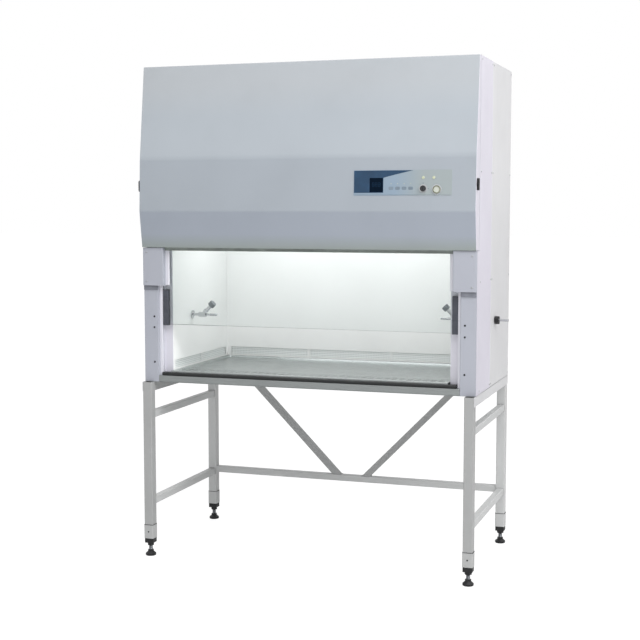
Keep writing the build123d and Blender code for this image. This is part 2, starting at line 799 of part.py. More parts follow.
def fascia_catch():
    """Quarter-turn catch on the fascia's cheek: round boss with a long grip."""
    boss = Pos(0, 0, 0.2) * extrude(Circle(13.0), amount=3.8)
    grip = Pos(0, 0, 0.3) * extrude(SlotOverall(catch_length, 17.0, rotation=90), amount=9.0)
    grip = fillet(grip.edges().sort_by(Axis.Z)[-1], 2.0)
    spindle = Pos(0, 0, -10.0) * extrude(Circle(catch_stem), amount=12.0)
    turned = boss + grip + spindle
    side = Plane(origin=(half_width, catch_y, catch_z), x_dir=(0, 1, 0), z_dir=(1, 0, 0))
    return side.location * turned


def hinge_body_leaf(x):
    """Leaf under the top panel with two knuckles and the pin."""
    half = hinge_length / 2
    pin = rod(pin_radius, (x - half, hinge_y, hinge_z), (x + half, hinge_y, hinge_z))
    leaf = block(x - half, x + half, fascia_rear_y + 7.0, hinge_y + 28, top_sheet_z - sheet, top_sheet_z)
    for x0 in (x - half, x + half - 19):
        leaf += rod(knuckle_radius, (x0, hinge_y, hinge_z), (x0 + 19, hinge_y, hinge_z))
        leaf += block(x0, x0 + 19, hinge_y, fascia_rear_y + 8.0, top_sheet_z - sheet, top_sheet_z)
    return leaf + pin


def hinge_fascia_leaf(x):
    """Leaf under the fascia's top edge with the middle knuckle."""
    half = hinge_length / 2
    knuckle = rod(knuckle_radius, (x - 20, hinge_y, hinge_z), (x + 20, hinge_y, hinge_z))
    web = block(x - 20, x + 20, fascia_rear_y - 1, hinge_y, top_sheet_z - sheet, top_sheet_z)
    y1 = fascia_rear_y - 0.3
    leaf = block(x - half, x + half, fascia_rear_y - 7.0, y1, top_sheet_z - sheet, top_sheet_z)
    bore = rod(pin_radius + running_gap, (x - half, hinge_y, hinge_z), (x + half, hinge_y, hinge_z))
    return knuckle + web + leaf - bore


# ---- lamp and services ----
lamp_y = guide_rear_y + 28.0
lamp_tube_z = 1462.0
right_tap_y = front_y + 418.0
left_tap_y = front_y + 285.0
tap_z = 1045.0
tap_body_reach = 50.0  # from the chamber wall to the valve's middle
spout_reach = 120.0
nozzle_reach = 60.0
nozzle_radius = 5.0
pipe_radius = 6.0
wall_rose_radius = 18.0
valve_radius = 11.0
valve_half = 17.0
spout_radius = 4.5
nut_length = 20.0
stem_radius = 4.0
stem_length = 64.0
bonnet_length = 54.0
knob_start = 56.0
knob_length = 20.0


def lamp_tube():
    """Fluorescent tube with metal end caps."""
    y = lamp_y
    z = lamp_tube_z
    tube = rod(12.0, (-575, y, z), (575, y, z))
    for x0, x1 in ((-589, -570), (570, 589)):
        tube += rod(13.0, (x0, y, z), (x1, y, z))
    return tube


def lamp_holders():
    holder = block(589.0, half_chamber, lamp_y - 17, lamp_y + 17, lamp_tube_z - 18, chamber_top_z - 1)
    holder = chamfer(holder.edges().filter_by(Axis.Y).sort_by(Axis.X)[:2], 4.0)
    return pair(holder)


def bonnet_plane(side, y, distance):
    """Plane across the slanted bonnet, which rises away from the wall at 45 degrees."""
    slant = math.sqrt(0.5)
    x = side * (half_chamber - tap_body_reach - distance * slant)
    return Plane(origin=(x, y, tap_z + distance * slant), x_dir=(0, 1, 0), z_dir=(-side, 0, 1))


def service_tap(y):
    """Slanted needle valve: hose nozzle outside, pipe through the wall, barbed spout inside."""
    body_x = half_chamber - tap_body_reach
    spout_x = half_chamber - spout_reach
    z = tap_z
    tap = rod(pipe_radius, (body_x, y, z), (half_width + nut_length, y, z))
    tap += rod(nozzle_radius, (half_width + nut_length, y, z), (half_width + nozzle_reach, y, z))
    tap += rod(wall_rose_radius, (half_chamber - 4, y, z), (half_chamber, y, z))
    tap += rod(valve_radius, (body_x - valve_half, y, z), (body_x + valve_half, y, z))
    tap += rod(spout_radius, (spout_x, y, z), (body_x, y, z))
    for i in range(4):
        barb = Plane(origin=(spout_x + 2 + 8 * i, y, z), z_dir=(1, 0, 0)).location
        tap += barb * Cone(spout_radius, 6.0, 6.0, align=(Align.CENTER, Align.CENTER, Align.MIN))
    tap += bonnet_plane(1, y, 0).location * extrude(Circle(8.0), amount=bonnet_length)
    tap += bonnet_plane(1, y, 16.0).location * extrude(RegularPolygon(11.0, 6), amount=12.0)
    tap += bonnet_plane(1, y, 0).location * extrude(Circle(stem_radius), amount=stem_length)
    return tap


def service_taps():
    right = service_tap(right_tap_y)
    left = mirrored(service_tap(left_tap_y))
    return group([right, left])


def nozzle_nut(y):
    """Black hexagonal nut that clamps the tap's pipe against the side cover."""
    nut = extrude(RegularPolygon(17.0, 6), amount=nut_length)
    turned_down = extrude(Circle(16.4), amount=nut_length)
    full_part = Pos(0, 0, 2.0) * extrude(Circle(17.5), amount=nut_length - 5.0)
    nut &= turned_down + full_part
    nut -= extrude(Circle(pipe_radius + running_gap), amount=nut_length)
    return Plane(origin=(half_width, y, tap_z), z_dir=(1, 0, 0)).location * nut


def nozzle_nuts():
    return group([nozzle_nut(right_tap_y), mirrored(nozzle_nut(left_tap_y))])


def tap_knob(side, y):
    """Fluted knob on the valve's stem."""
    outline = Circle(15.0)
    for i in range(8):
        outline -= Rot(0, 0, 45.0 * i) * Pos(17.2, 0) * Circle(4.0)
    knob = extrude(outline, amount=knob_length)
    knob = chamfer(knob.edges().group_by(Axis.Z)[-1], 1.0)
    knob -= extrude(Circle(stem_radius + running_gap), amount=stem_length - knob_start + 0.2)
    return bonnet_plane(side, y, knob_start).location * knob


def with_pipe_holes(shape, y, side):
    """Clearance hole for a tap's pipe through a side sheet."""
    hole = rod(6.6, (side * 560, y, tap_z), (side * 760, y, tap_z))
    return shape - hole


nodes = {
    "front_legs": legs(leg_front_centre_y),
    "rear_legs": legs(leg_rear_centre_y),
    "top_rails": top_rails(),
    "side_stretchers": side_stretchers(),
    "rear_lower_rail": rear_lower_rail(),
    "cross_braces": cross_braces(),
    "leg_plugs": leg_plugs(),
    "leg_collars": leg_collars(),
    "base_pan": base_pan(),
    "frame_uprights": frame_uprights(),
    "front_side_covers": with_pipe_holes(front_side_covers(), left_tap_y, -1),
    "rear_side_covers": with_pipe_holes(rear_side_covers(), right_tap_y, 1),
    "back_panel": back_panel(),
    "mains_inlet": mains_inlet(),
    "top_panel": top_panel(),
    "upper_post_covers": upper_post_covers(),
    "lower_post_covers": lower_post_covers(),
    "sash_guides": sash_guides(),
    "front_rail": front_rail(),
    "armrest_strip": armrest_strip(),
    "chamber_side_right": with_pipe_holes(chamber_side(), right_tap_y, 1),
    "chamber_side_left": with_pipe_holes(mirrored(chamber_side()), left_tap_y, -1),
    "chamber_back": chamber_back(),
    "tray_ledges": tray_ledges(),
    "work_tray": work_tray(),
    "front_grille": front_grille(),
    "diffuser_screen": diffuser_screen(),
    "supply_filter": supply_filter(),
    "filter_deck": filter_deck(),
    "blower_housing": blower_housing(),
    "blower_wheel": blower_wheel(),
    "blower_motor": blower_motor(),
    "exhaust_filter": exhaust_filter(),
    "exhaust_grille": exhaust_grille(),
    "sash_glass": sash_glass(),
    "sash_grips": sash_grips(),
    "counterweight_right": counterweight(),
    "counterweight_left": mirrored(counterweight()),
    "pulley_right": pulley(),
    "pulley_left": mirrored(pulley()),
    "fascia_cover": fascia_cover(),
    "control_panel": control_panel(),
    "display_window": display_window(),
    "pilot_lamps": pilot_lamps(),
    "key_switch": key_switch(),
    "start_button": start_button(),
    "fascia_catch_right": fascia_catch(),
    "fascia_catch_left": mirrored(fascia_catch()),
    "hinge_body_leaves": group([hinge_body_leaf(-hinge_x), hinge_body_leaf(hinge_x)]),
    "hinge_fascia_leaves": group([hinge_fascia_leaf(-hinge_x), hinge_fascia_leaf(hinge_x)]),
    "lamp_tube": lamp_tube(),
    "lamp_holders": lamp_holders(),
    "service_taps": service_taps(),
    "nozzle_nuts": nozzle_nuts(),
    "tap_handle_right": tap_knob(1, right_tap_y),
    "tap_handle_left": tap_knob(-1, left_tap_y),
}
foot_names = ("front_left", "front_right", "rear_left", "rear_right")
for foot_name, (foot_x, foot_y) in zip(foot_names, leg_centres):
    nodes["foot_" + foot_name] = levelling_foot(foot_x, foot_y)

os.makedirs("parts", exist_ok=True)
for name, shape in nodes.items():
    export_step(shape, f"parts/{name}.step")
print(len(nodes), "nodes; front_y", round(front_y, 3), "rear_y", round(rear_y, 3))
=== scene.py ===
import math

import bmesh
import bpy
import numpy as np
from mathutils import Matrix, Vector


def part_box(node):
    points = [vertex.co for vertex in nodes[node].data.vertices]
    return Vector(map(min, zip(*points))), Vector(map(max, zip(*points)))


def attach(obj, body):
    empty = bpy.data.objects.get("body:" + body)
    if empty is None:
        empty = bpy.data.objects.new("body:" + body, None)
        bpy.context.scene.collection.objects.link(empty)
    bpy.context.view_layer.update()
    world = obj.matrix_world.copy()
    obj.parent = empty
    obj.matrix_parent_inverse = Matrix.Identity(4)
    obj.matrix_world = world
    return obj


# Biosafety cabinet on its open stand. Metres, +Z up, X to the right, front towards -Y.
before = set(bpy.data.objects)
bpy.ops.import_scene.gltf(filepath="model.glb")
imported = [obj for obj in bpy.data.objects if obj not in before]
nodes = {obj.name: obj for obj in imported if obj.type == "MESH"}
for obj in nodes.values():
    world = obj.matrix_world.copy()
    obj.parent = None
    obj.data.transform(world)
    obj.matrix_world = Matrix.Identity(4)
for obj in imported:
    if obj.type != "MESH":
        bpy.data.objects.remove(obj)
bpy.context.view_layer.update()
scene = bpy.context.scene
print("stage: frame loaded,", len(nodes), "nodes")

cameraView = {
    "place": (1.7442, -5.2743, 1.5203),
    "azimuth": 18.68,  # degrees round from the front towards the right
    "pitch": 5.06,  # degrees down
    "lens": 71.19,
    "reach": 200.0,  # past the edge of the floor
}
cameraData = bpy.data.cameras.new("camera")
cameraData.lens = cameraView["lens"]
cameraData.clip_end = cameraView["reach"]
cameraObject = bpy.data.objects.new("camera", cameraData)
cameraObject.location = cameraView["place"]
cameraObject.rotation_euler = (
    math.radians(90.0 - cameraView["pitch"]),
    0.0,
    math.radians(cameraView["azimuth"]),
)
scene.collection.objects.link(cameraObject)
scene.camera = cameraObject
scene.view_settings.view_transform = "Standard"
print("stage: camera")


def linear(code):
    # "#rrggbb" to the linear colour that shaders take
    parts = [int(code[i : i + 2], 16) / 255.0 for i in (1, 3, 5)]
    parts = [p / 12.92 if p <= 0.04045 else ((p + 0.055) / 1.055) ** 2.4 for p in parts]
    return (*parts, 1.0)


def put(tree, kind, inputs=None, **fields):
    # a shader node with its fields set; an input is a plain value or another node's output
    node = tree.nodes.new("ShaderNode" + kind)
    for field, value in fields.items():
        setattr(node, field, value)
    for socket, value in (inputs or {}).items():
        if isinstance(value, bpy.types.NodeSocket):
            tree.links.new(value, node.inputs[socket])
        else:
            node.inputs[socket].default_value = value
    return node


def newMaterial(name):
    # an empty finish, its tree, its main shader and the object's own coordinates
    material = bpy.data.materials.new(name)
    material.use_nodes = True
    tree = material.node_tree
    shader = tree.nodes["Principled BSDF"]
    place = put(tree, "TexCoord").outputs["Object"]
    return material, tree, shader, place


def noise(tree, place, scale, detail=2.0, stretch=(1.0, 1.0, 1.0), roughness=0.5):
    # cloudy value on the object's own coordinates, scale in waves per metre
    if stretch != (1.0, 1.0, 1.0):
        place = put(tree, "Mapping", {"Vector": place, "Scale": stretch}).outputs[0]
    settings = {"Vector": place, "Scale": scale, "Detail": detail, "Roughness": roughness}
    return put(tree, "TexNoise", settings).outputs["Fac"]


def spread(tree, value, low, high):
    # noise, which mostly lies between 0.3 and 0.7, spread from low to high
    settings = {"Value": value, "From Min": 0.3, "From Max": 0.7, "To Min": low, "To Max": high}
    return put(tree, "MapRange", settings).outputs[0]


def shades(tree, value, colours):
    # colours at even steps along a noise
    ramp = put(tree, "ValToRGB", {"Fac": value})
    places = np.linspace(0.32, 0.68, len(colours))
    ramp.color_ramp.elements[0].position = places[0]
    ramp.color_ramp.elements[1].position = places[-1]
    for position in places[1:-1]:
        ramp.color_ramp.elements.new(position)
    for element, colour in zip(ramp.color_ramp.elements, colours):
        element.color = colour
    return ramp.outputs["Color"]


def tones(code, dark, light):
    # a colour between a darker and a lighter one, each given as its share of it
    colour = linear(code)
    ends = [tuple(min(1.0, c * share) for c in colour[:3]) + (1.0,) for share in (dark, light)]
    return [ends[0], colour, ends[1]]


def glossed(tree, shader, value, rough, steps):
    # roughness that wanders between two steps off its middle
    wander = spread(tree, value, *[rough + step for step in steps])
    tree.links.new(wander, shader.inputs["Roughness"])


def raised(tree, shader, height, distance, strength=1.0, normal=None):
    # relief too fine to model
    settings = {"Height": height, "Distance": distance, "Strength": strength}
    if normal is not None:
        settings["Normal"] = normal
    bump = put(tree, "Bump", settings)
    tree.links.new(bump.outputs[0], shader.inputs["Normal"])


def plus(tree, a, b, share=1.0):
    # a + b * share
    scaled = put(tree, "Math", {0: b, 1: share}, operation="MULTIPLY").outputs[0]
    return put(tree, "Math", {0: a, 1: scaled}, operation="ADD").outputs[0]


powderCoat = {
    "cloud": 3.1,  # waves of tone per metre
    "tones": (0.965, 1.02),
    "haze": 11.0,  # waves of gloss per metre
    "hazeStretch": (1.0, 1.0, 0.45),
    "gloss": (-0.06, 0.07),  # off the finish's own roughness
    "peel": (420.0, 1300.0, 0.35),  # coarse and fine waves per metre, share of the fine ones
    "peelDepth": 0.00016,
    "peelStrength": 0.55,
    "shine": 0.42,
}


def paint(name, code, rough=0.42, corner=0.0012, others=()):
    # powder coat: fine orange peel, a little uneven gloss, faint handling marks, softened folds;
    # others: (axis, from, to, colour) of tones that come in along an axis, which also carry painted
    # shade and painted light
    material, tree, shader, place = newMaterial(name)
    cloud = noise(tree, place, powderCoat["cloud"], 4.0)
    tone = shades(tree, cloud, tones(code, *powderCoat["tones"]))
    split = put(tree, "SeparateXYZ", {"Vector": place})
    for axis, first, last, otherCode in others:
        far = split.outputs[axis]
        if axis == "X":  # alike on the left and the right
            far = put(tree, "Math", {0: far}, operation="ABSOLUTE").outputs[0]
        settings = {"Value": far, "From Min": first, "From Max": last}
        share = put(tree, "MapRange", settings).outputs[0]
        other = shades(tree, cloud, tones(otherCode, *powderCoat["tones"]))
        mix = put(tree, "Mix", {0: share, 6: tone, 7: other}, data_type="RGBA")
        tone = mix.outputs[2]
    tree.links.new(tone, shader.inputs["Base Color"])
    haze = noise(tree, place, powderCoat["haze"], 5.0, powderCoat["hazeStretch"])
    glossed(tree, shader, haze, rough, powderCoat["gloss"])
    coarse, fine, share = powderCoat["peel"]
    peel = plus(tree, noise(tree, place, coarse, 1.0), noise(tree, place, fine, 1.0), share)
    soft = put(tree, "Bevel", {"Radius": corner}, samples=4).outputs[0]
    raised(tree, shader, peel, powderCoat["peelDepth"], powderCoat["peelStrength"], soft)
    shader.inputs["Specular IOR Level"].default_value = powderCoat["shine"]
    return material


rolledSteel = {
    "lines": 9.0,
    "long": 1.2,  # stretch of the lines along the rolling and across it
    "short": 90.0,
    "cloud": 4.5,
    "cloudShare": 0.35,
    "level": 0.741,  # brings both together back to between 0 and 1
    "tones": (0.88, 1.08),
    "gloss": (-0.07, 0.09),
    "relief": 0.00008,
}


def brushedSteel(name, code, rough=0.3, along="x", grain=1.0):
    # rolled sheet with long fine scratches one way, faint cloudiness and a few wipe marks
    material, tree, shader, place = newMaterial(name)
    stretch = tuple(rolledSteel["long" if axis == along else "short"] for axis in "xyz")
    lines = noise(tree, place, rolledSteel["lines"], 6.0, stretch=stretch, roughness=0.7)
    cloud = noise(tree, place, rolledSteel["cloud"], 3.0)
    both = plus(tree, lines, cloud, rolledSteel["cloudShare"])
    both = put(tree, "Math", {0: both, 1: rolledSteel["level"]}, operation="MULTIPLY").outputs[0]
    tone = shades(tree, both, tones(code, *rolledSteel["tones"]))
    tree.links.new(tone, shader.inputs["Base Color"])
    glossed(tree, shader, both, rough, rolledSteel["gloss"])
    raised(tree, shader, lines, rolledSteel["relief"] * grain, 0.5)
    shader.inputs["Metallic"].default_value = 1.0
    return material


spangle = {"crystals": 70.0, "tones": (0.86, 1.1), "rough": 0.44, "gloss": (-0.08, 0.08)}


def galvanisedSheet(name, code):
    # zinc spangle: patches of crystals at slightly different greys
    material, tree, shader, place = newMaterial(name)
    settings = {"Vector": place, "Scale": spangle["crystals"], "Randomness": 1.0}
    crystals = put(tree, "TexVoronoi", settings, feature="F1").outputs["Color"]
    grey = put(tree, "RGBToBW", {"Color": crystals}).outputs[0]
    tone = shades(tree, grey, tones(code, *spangle["tones"]))
    tree.links.new(tone, shader.inputs["Base Color"])
    glossed(tree, shader, grey, spangle["rough"], spangle["gloss"])
    shader.inputs["Metallic"].default_value = 0.9
    return material


mouldings = {"cloud": 22.0, "tones": (0.85, 1.22), "marks": 60.0, "gloss": (-0.08, 0.1)}


def moulded(name, code, rough=0.5, grain=900.0, depth=0.0001, metal=0.0):
    # moulded plastic or rubber: fine grain, faint rub marks
    material, tree, shader, place = newMaterial(name)
    cloud = noise(tree, place, mouldings["cloud"], 4.0)
    tone = shades(tree, cloud, tones(code, *mouldings["tones"]))
    tree.links.new(tone, shader.inputs["Base Color"])
    marks = noise(tree, place, mouldings["marks"], 5.0)
    glossed(tree, shader, marks, rough, mouldings["gloss"])
    raised(tree, shader, noise(tree, place, grain, 2.0), depth, 0.6)
    shader.inputs["Metallic"].default_value = metal
    return material


pane = {
    "smears": 5.0,
    "gloss": (0.015, 0.05),
    "mirror": (0.95, 1.0, 0.98, 1.0),
    "bend": 1.42,  # index of refraction
}


def toughGlass(name, code):
    # thin pane: tinted and see-through, with a mirror sheen that grows towards a grazing view
    material, tree, shader, place = newMaterial(name)
    tree.nodes.remove(shader)
    clear = put(tree, "BsdfTransparent", {"Color": linear(code)})
    smear = spread(tree, noise(tree, place, pane["smears"], 4.0), *pane["gloss"])
    mirror = put(tree, "BsdfGlossy", {"Color": pane["mirror"], "Roughness": smear})
    sheen = put(tree, "Fresnel", {"IOR": pane["bend"]}).outputs[0]
    mixed = put(tree, "MixShader", {0: sheen, 1: clear.outputs[0], 2: mirror.outputs[0]})
    tree.links.new(mixed.outputs[0], tree.nodes["Material Output"].inputs["Surface"])
    return material


filterPaper = {
    "fibres": 260.0,
    "stretch": (1.0, 0.3, 1.0),
    "codes": ("#D9D5C8", "#E9E6DC", "#F2F0E9"),
    "rough": 0.9,
    "relief": 0.0003,
}


def pleatedMedia(name):
    # glass-fibre paper: warm white, soft fibres
    material, tree, shader, place = newMaterial(name)
    fibre = noise(tree, place, filterPaper["fibres"], 6.0, filterPaper["stretch"], 0.8)
    tone = shades(tree, fibre, [linear(code) for code in filterPaper["codes"]])
    tree.links.new(tone, shader.inputs["Base Color"])
    shader.inputs["Roughness"].default_value = filterPaper["rough"]
    raised(tree, shader, fibre, filterPaper["relief"], 0.7)
    return material


clearSkin = {"cloud": 90.0, "tones": (0.9, 1.08), "marks": 240.0, "gloss": (-0.05, 0.08)}


def glossyPart(name, code, rough=0.18, coat=0.5, mirror=0.5):
    # hard glossy plastic or lens under a clear skin
    material, tree, shader, place = newMaterial(name)
    cloud = noise(tree, place, clearSkin["cloud"], 3.0)
    tone = shades(tree, cloud, tones(code, *clearSkin["tones"]))
    tree.links.new(tone, shader.inputs["Base Color"])
    marks = noise(tree, place, clearSkin["marks"], 5.0)
    glossed(tree, shader, marks, rough, clearSkin["gloss"])
    shader.inputs["Coat Weight"].default_value = coat
    shader.inputs["Specular IOR Level"].default_value = mirror
    return material


punched = {"smears": 30.0, "rough": 0.475, "gloss": (-0.075, 0.075), "metal": 0.5}


def perforatedSheet(name, code, holeShadeCode, pitch, hole, upright=False):
    # square field of round holes: solid where the distance to the nearest hole's middle is over
    # its radius; an upright sheet runs along X or Y, so their sum counts along it
    material, tree, shader, place = newMaterial(name)
    split = put(tree, "SeparateXYZ", {"Vector": place})
    along, other = split.outputs["X"], split.outputs["Y"]
    if upright:
        along = put(tree, "Math", {0: along, 1: other}, operation="ADD").outputs[0]
        other = split.outputs["Z"]
    squares = []
    for line in (along, other):
        cell = put(tree, "Math", {0: line, 1: pitch}, operation="PINGPONG").outputs[0]
        squares.append(put(tree, "Math", {0: cell, 1: 2.0}, operation="POWER").outputs[0])
    reach = put(tree, "Math", {0: squares[0], 1: squares[1]}, operation="ADD").outputs[0]
    reach = put(tree, "Math", {0: reach}, operation="SQRT").outputs[0]
    solid = put(tree, "Math", {0: reach, 1: hole}, operation="GREATER_THAN").outputs[0]
    ramp = put(tree, "ValToRGB", {"Fac": solid})
    # painted shade: the holes take a flat darker colour, for the shaded space seen through them
    ramp.color_ramp.elements[0].color = linear(holeShadeCode)
    ramp.color_ramp.elements[1].color = linear(code)
    tree.links.new(ramp.outputs[0], shader.inputs["Base Color"])
    glossed(tree, shader, noise(tree, place, punched["smears"]), punched["rough"], punched["gloss"])
    shader.inputs["Metallic"].default_value = punched["metal"]
    return material


fasciaShadeAndHighlight = [  # painted shade: a step darker at each bend on the way down, where the facets turn from the light; painted highlight: pale cheeks, lit from the right
    ("Z", 2.03, 1.9, "#B1B8BF"),
    ("Z", 1.742, 1.72, "#A6ADB5"),
    ("Z", 1.513, 1.5, "#9FA6B1"),
    ("Z", 1.41, 1.355, "#949C9B"),
    ("X", 0.7285, 0.7295, "#D8D5E0"),
]
linerTones = [("Y", -0.2879, -0.2884, "#D8D7E0")]  # the side walls' front edges
rearCollarPaintedLight = [("Y", 0.0, 0.01, "#C6C7C7")]  # painted light: the rear pair lighter, to go with the rear legs' painted-light paint
filmTones = [("X", 0.4, 0.52, "#A0A9AB")]  # warmer round the switches
finishes = {
    "standPaint": paint("standPaint", "#A9AAAA", 0.4),
    # painted light: a lighter copy of the stand's paint for the rear legs, rear rail and side
    # stretchers, lifting them out of the shade under the cabinet
    "rearStandPaintedLight": paint("rearStandPaintedLight", "#C9CACA", 0.4),
    "coverPaint": paint("coverPaint", "#D7D7D9", 0.42),
    "frontCoverPaint": paint("frontCoverPaint", "#D8D5E0", 0.42),
    # the fascia's paint holds painted shade on its lower facets and a painted highlight on its
    # cheeks
    "fasciaPaint": paint("fasciaPaint", "#B5BABF", 0.4, 0.002, fasciaShadeAndHighlight),
    "postPaint": paint("postPaint", "#AEB1BB", 0.42),
    # painted shadow: the dark grey of the strip that stands for the upper post covers' shadow
    "stepShadowStrip": moulded("stepShadowStrip", "#7C7F88", 0.5),
    "linerPaint": paint("linerPaint", "#F1F2F1", 0.35, others=linerTones),
    "stainless": brushedSteel("stainless", "#B1B6B6", 0.27),
    "stainlessRail": brushedSteel("stainlessRail", "#9FA3A3", 0.42),
    "galvanised": galvanisedSheet("galvanised", "#B5B8BA"),
    "collarPaint": paint("collarPaint", "#B4B5B5", 0.45, others=rearCollarPaintedLight),
    "blackPlastic": moulded("blackPlastic", "#131416", 0.48),
    "sealRubber": moulded("sealRubber", "#8A918D", 0.6, 500.0, 0.0001),
    "blackStrip": moulded("blackStrip", "#17191A", 0.55, 500.0, 0.0002),
    "glass": toughGlass("glass", "#FDFEFE"),
    "gripPlastic": moulded("gripPlastic", "#474A53", 0.45),
    "coverPaintFine": paint("coverPaintFine", "#DCDCE4", 0.36),
    "aluminium": brushedSteel("aluminium", "#C4C7CB", 0.34, "z"),
    "welds": paint("welds", "#A7A8A8", 0.45, 0.0005),
    "printTeal": moulded("printTeal", "#1E3E5B", 0.45, 1500.0, 0.00003),
    "printGrey": moulded("printGrey", "#7A8894", 0.4, 1500.0, 0.00003),
    "zincScrew": brushedSteel("zincScrew", "#B4B6B8", 0.3, "x", 0.3),
    "blackScrew": moulded("blackScrew", "#222325", 0.35, metal=0.6),
    "foldShadow": moulded("foldShadow", "#7E858E", 0.5),
    "guardSteel": perforatedSheet("guardSteel", "#F4F7F6", "#B8BEBD", 0.004, 0.0022, True),
    "displayGhost": glossyPart("displayGhost", "#123350", 0.25, 0.1, 0.15),
    "steel": brushedSteel("steel", "#84878B", 0.42, "z"),
    "motorPaint": paint("motorPaint", "#454A50", 0.5),
    "filterMedia": pleatedMedia("filterMedia"),
    "panelFilm": paint("panelFilm", "#8FA1B2", 0.4, 0.0003, filmTones),
    "display": glossyPart("display", "#021324", 0.2, 0.0, 0.06),
    "lampLens": glossyPart("lampLens", "#C6CBAE", 0.2, 0.6),
    "keyBlack": glossyPart("keyBlack", "#15171B", 0.25),
    "buttonFace": glossyPart("buttonFace", "#C6C9BF", 0.25),
    "buttonRim": glossyPart("buttonRim", "#73775F", 0.3, 0.3),
    "lampGlass": glossyPart("lampGlass", "#F2F5F4", 0.3, 0.3),
    "chrome": brushedSteel("chrome", "#C2C4C6", 0.16, "x", 0.2),
    "tapPlastic": moulded("tapPlastic", "#757B7F", 0.42),
    "screen": perforatedSheet("screen", "#D6DAD8", "#2C2F30", 0.0045, 0.0026),
}

nodeFinish = {  # the parts that wear each finish
    "standPaint": ["front_legs", "top_rails", "cross_braces"],
    # painted light: the rear parts wear the lighter copy of the stand's paint
    "rearStandPaintedLight": ["rear_legs", "rear_lower_rail", "side_stretchers"],
    "blackPlastic": [
        "leg_plugs", "nozzle_nuts", "mains_inlet", "lamp_holders",
        "pulley_right", "pulley_left", "fascia_catch_right", "fascia_catch_left",
        "foot_front_left", "foot_front_right", "foot_rear_left", "foot_rear_right",
    ],
    "collarPaint": ["leg_collars"],
    "stainless": ["base_pan", "tray_ledges", "work_tray", "front_grille"],
    "stainlessRail": ["front_rail"],
    "galvanised": ["frame_uprights", "filter_deck", "blower_housing", "blower_wheel"],
    "coverPaint": ["rear_side_covers", "back_panel", "top_panel", "exhaust_grille"],
    "frontCoverPaint": ["front_side_covers"],
    "postPaint": ["upper_post_covers", "lower_post_covers"],
    "coverPaintFine": ["sash_guides"],
    "blackStrip": ["armrest_strip"],
    "linerPaint": ["chamber_side_right", "chamber_side_left", "chamber_back"],
    "screen": ["diffuser_screen"],
    "filterMedia": ["supply_filter", "exhaust_filter"],
    "motorPaint": ["blower_motor"],
    "glass": ["sash_glass"],
    "gripPlastic": ["sash_grips"],
    "steel": [
        "counterweight_right", "counterweight_left", "hinge_body_leaves", "hinge_fascia_leaves",
    ],
    "fasciaPaint": ["fascia_cover"],
    "panelFilm": ["control_panel"],
    "display": ["display_window"],
    "lampLens": ["pilot_lamps"],
    "keyBlack": ["key_switch"],
    "buttonFace": ["start_button"],
    "lampGlass": ["lamp_tube"],
    "chrome": ["service_taps"],
    "tapPlastic": ["tap_handle_right", "tap_handle_left"],
}
for finish, members in nodeFinish.items():
    for member in members:
        nodes[member].data.materials.clear()
        nodes[member].data.materials.append(finishes[finish])
print("stage: finishes on", sum(len(m) for m in nodeFinish.values()), "nodes")


mergeGap = 1e-6  # points of a piece nearer than this are one


def gridFaces(count, rows, columns, closeRows):
    # one quad from each point (i, j) to its next ones, for every copy of the grid
    lastRow = rows if closeRows else rows - 1
    i, j = np.meshgrid(np.arange(lastRow), np.arange(columns), indexing="ij")
    nextI, nextJ = (i + 1) % rows, (j + 1) % columns
    corners = ((i, j), (nextI, j), (nextI, nextJ), (i, nextJ))
    quads = np.stack([row * columns + column for row, column in corners], -1)
    shift = np.arange(count)[:, None, None] * (rows * columns)
    return (quads.reshape(1, -1, 4) + shift).reshape(-1, 4)


def makePiece(name, grids, finish, body, closeRows=False, smooth=False):
    # grids: copies, rows, columns, xyz; columns always run round, a row shrunk to a point closes
    # an end, and closeRows joins the last row to the first
    grids = np.asarray(grids, float)
    if grids.ndim == 3:
        grids = grids[None]
    count, rows, columns, _ = grids.shape
    faces = gridFaces(count, rows, columns, closeRows)
    mesh = bpy.data.meshes.new(name)
    mesh.from_pydata(grids.reshape(-1, 3).tolist(), [], faces.tolist())
    work = bmesh.new()
    work.from_mesh(mesh)
    bmesh.ops.remove_doubles(work, verts=work.verts, dist=mergeGap)
    bmesh.ops.dissolve_degenerate(work, edges=work.edges, dist=mergeGap / 10)
    bmesh.ops.recalc_face_normals(work, faces=work.faces)
    for face in work.faces:
        face.smooth = smooth
    work.to_mesh(mesh)
    work.free()
    mesh.materials.append(finishes[finish])
    piece = bpy.data.objects.new(name, mesh)
    scene.collection.objects.link(piece)
    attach(piece, body)


def closedEnds(grid):
    # the grid with a row before and after it that has shrunk to the middle of its neighbour
    ends = [np.broadcast_to(grid[i].mean(0), grid[i].shape)[None] for i in (0, -1)]
    return np.concatenate([ends[0], grid, ends[1]])


def carried(section, xs):
    # a closed section (y, z) carried along x, ends shut
    section = np.asarray(section, float)
    rows = [np.column_stack([np.full(len(section), x), section]) for x in xs]
    return closedEnds(np.stack(rows))


def atSpots(local, spots, across, up):
    # the local grid (x across, y up, z out) set down at every spot
    across = np.asarray(across, float)
    up = np.asarray(up, float)
    away = np.cross(across, up)
    spots = np.asarray(spots, float).reshape(-1, 3)
    shape = local[..., 0:1] * across + local[..., 1:2] * up + local[..., 2:3] * away
    return spots[:, None, None, :] + shape[None]


def turned(profile, sides):
    # profile of (radius, height) turned round the out axis
    profile = np.asarray(profile, float)
    angle = np.linspace(0.0, 2 * math.pi, sides, endpoint=False)
    x = profile[:, None, 0] * np.cos(angle)
    y = profile[:, None, 0] * np.sin(angle)
    z = np.broadcast_to(profile[:, None, 1], x.shape)
    return np.stack([x, y, z], -1)


axisX, axisY, axisZ = (1, 0, 0), (0, 1, 0), (0, 0, 1)
screws = {
    "radius": 0.0042,
    "height": 0.0018,
    "rim": 0.0003,  # straight part under the crown
    "slotWidth": 0.0011,
    "slotReach": 0.62,  # shares of the radius and of the height
    "slotDepth": 0.6,
    "sides": 24,
    "rings": 9,
}


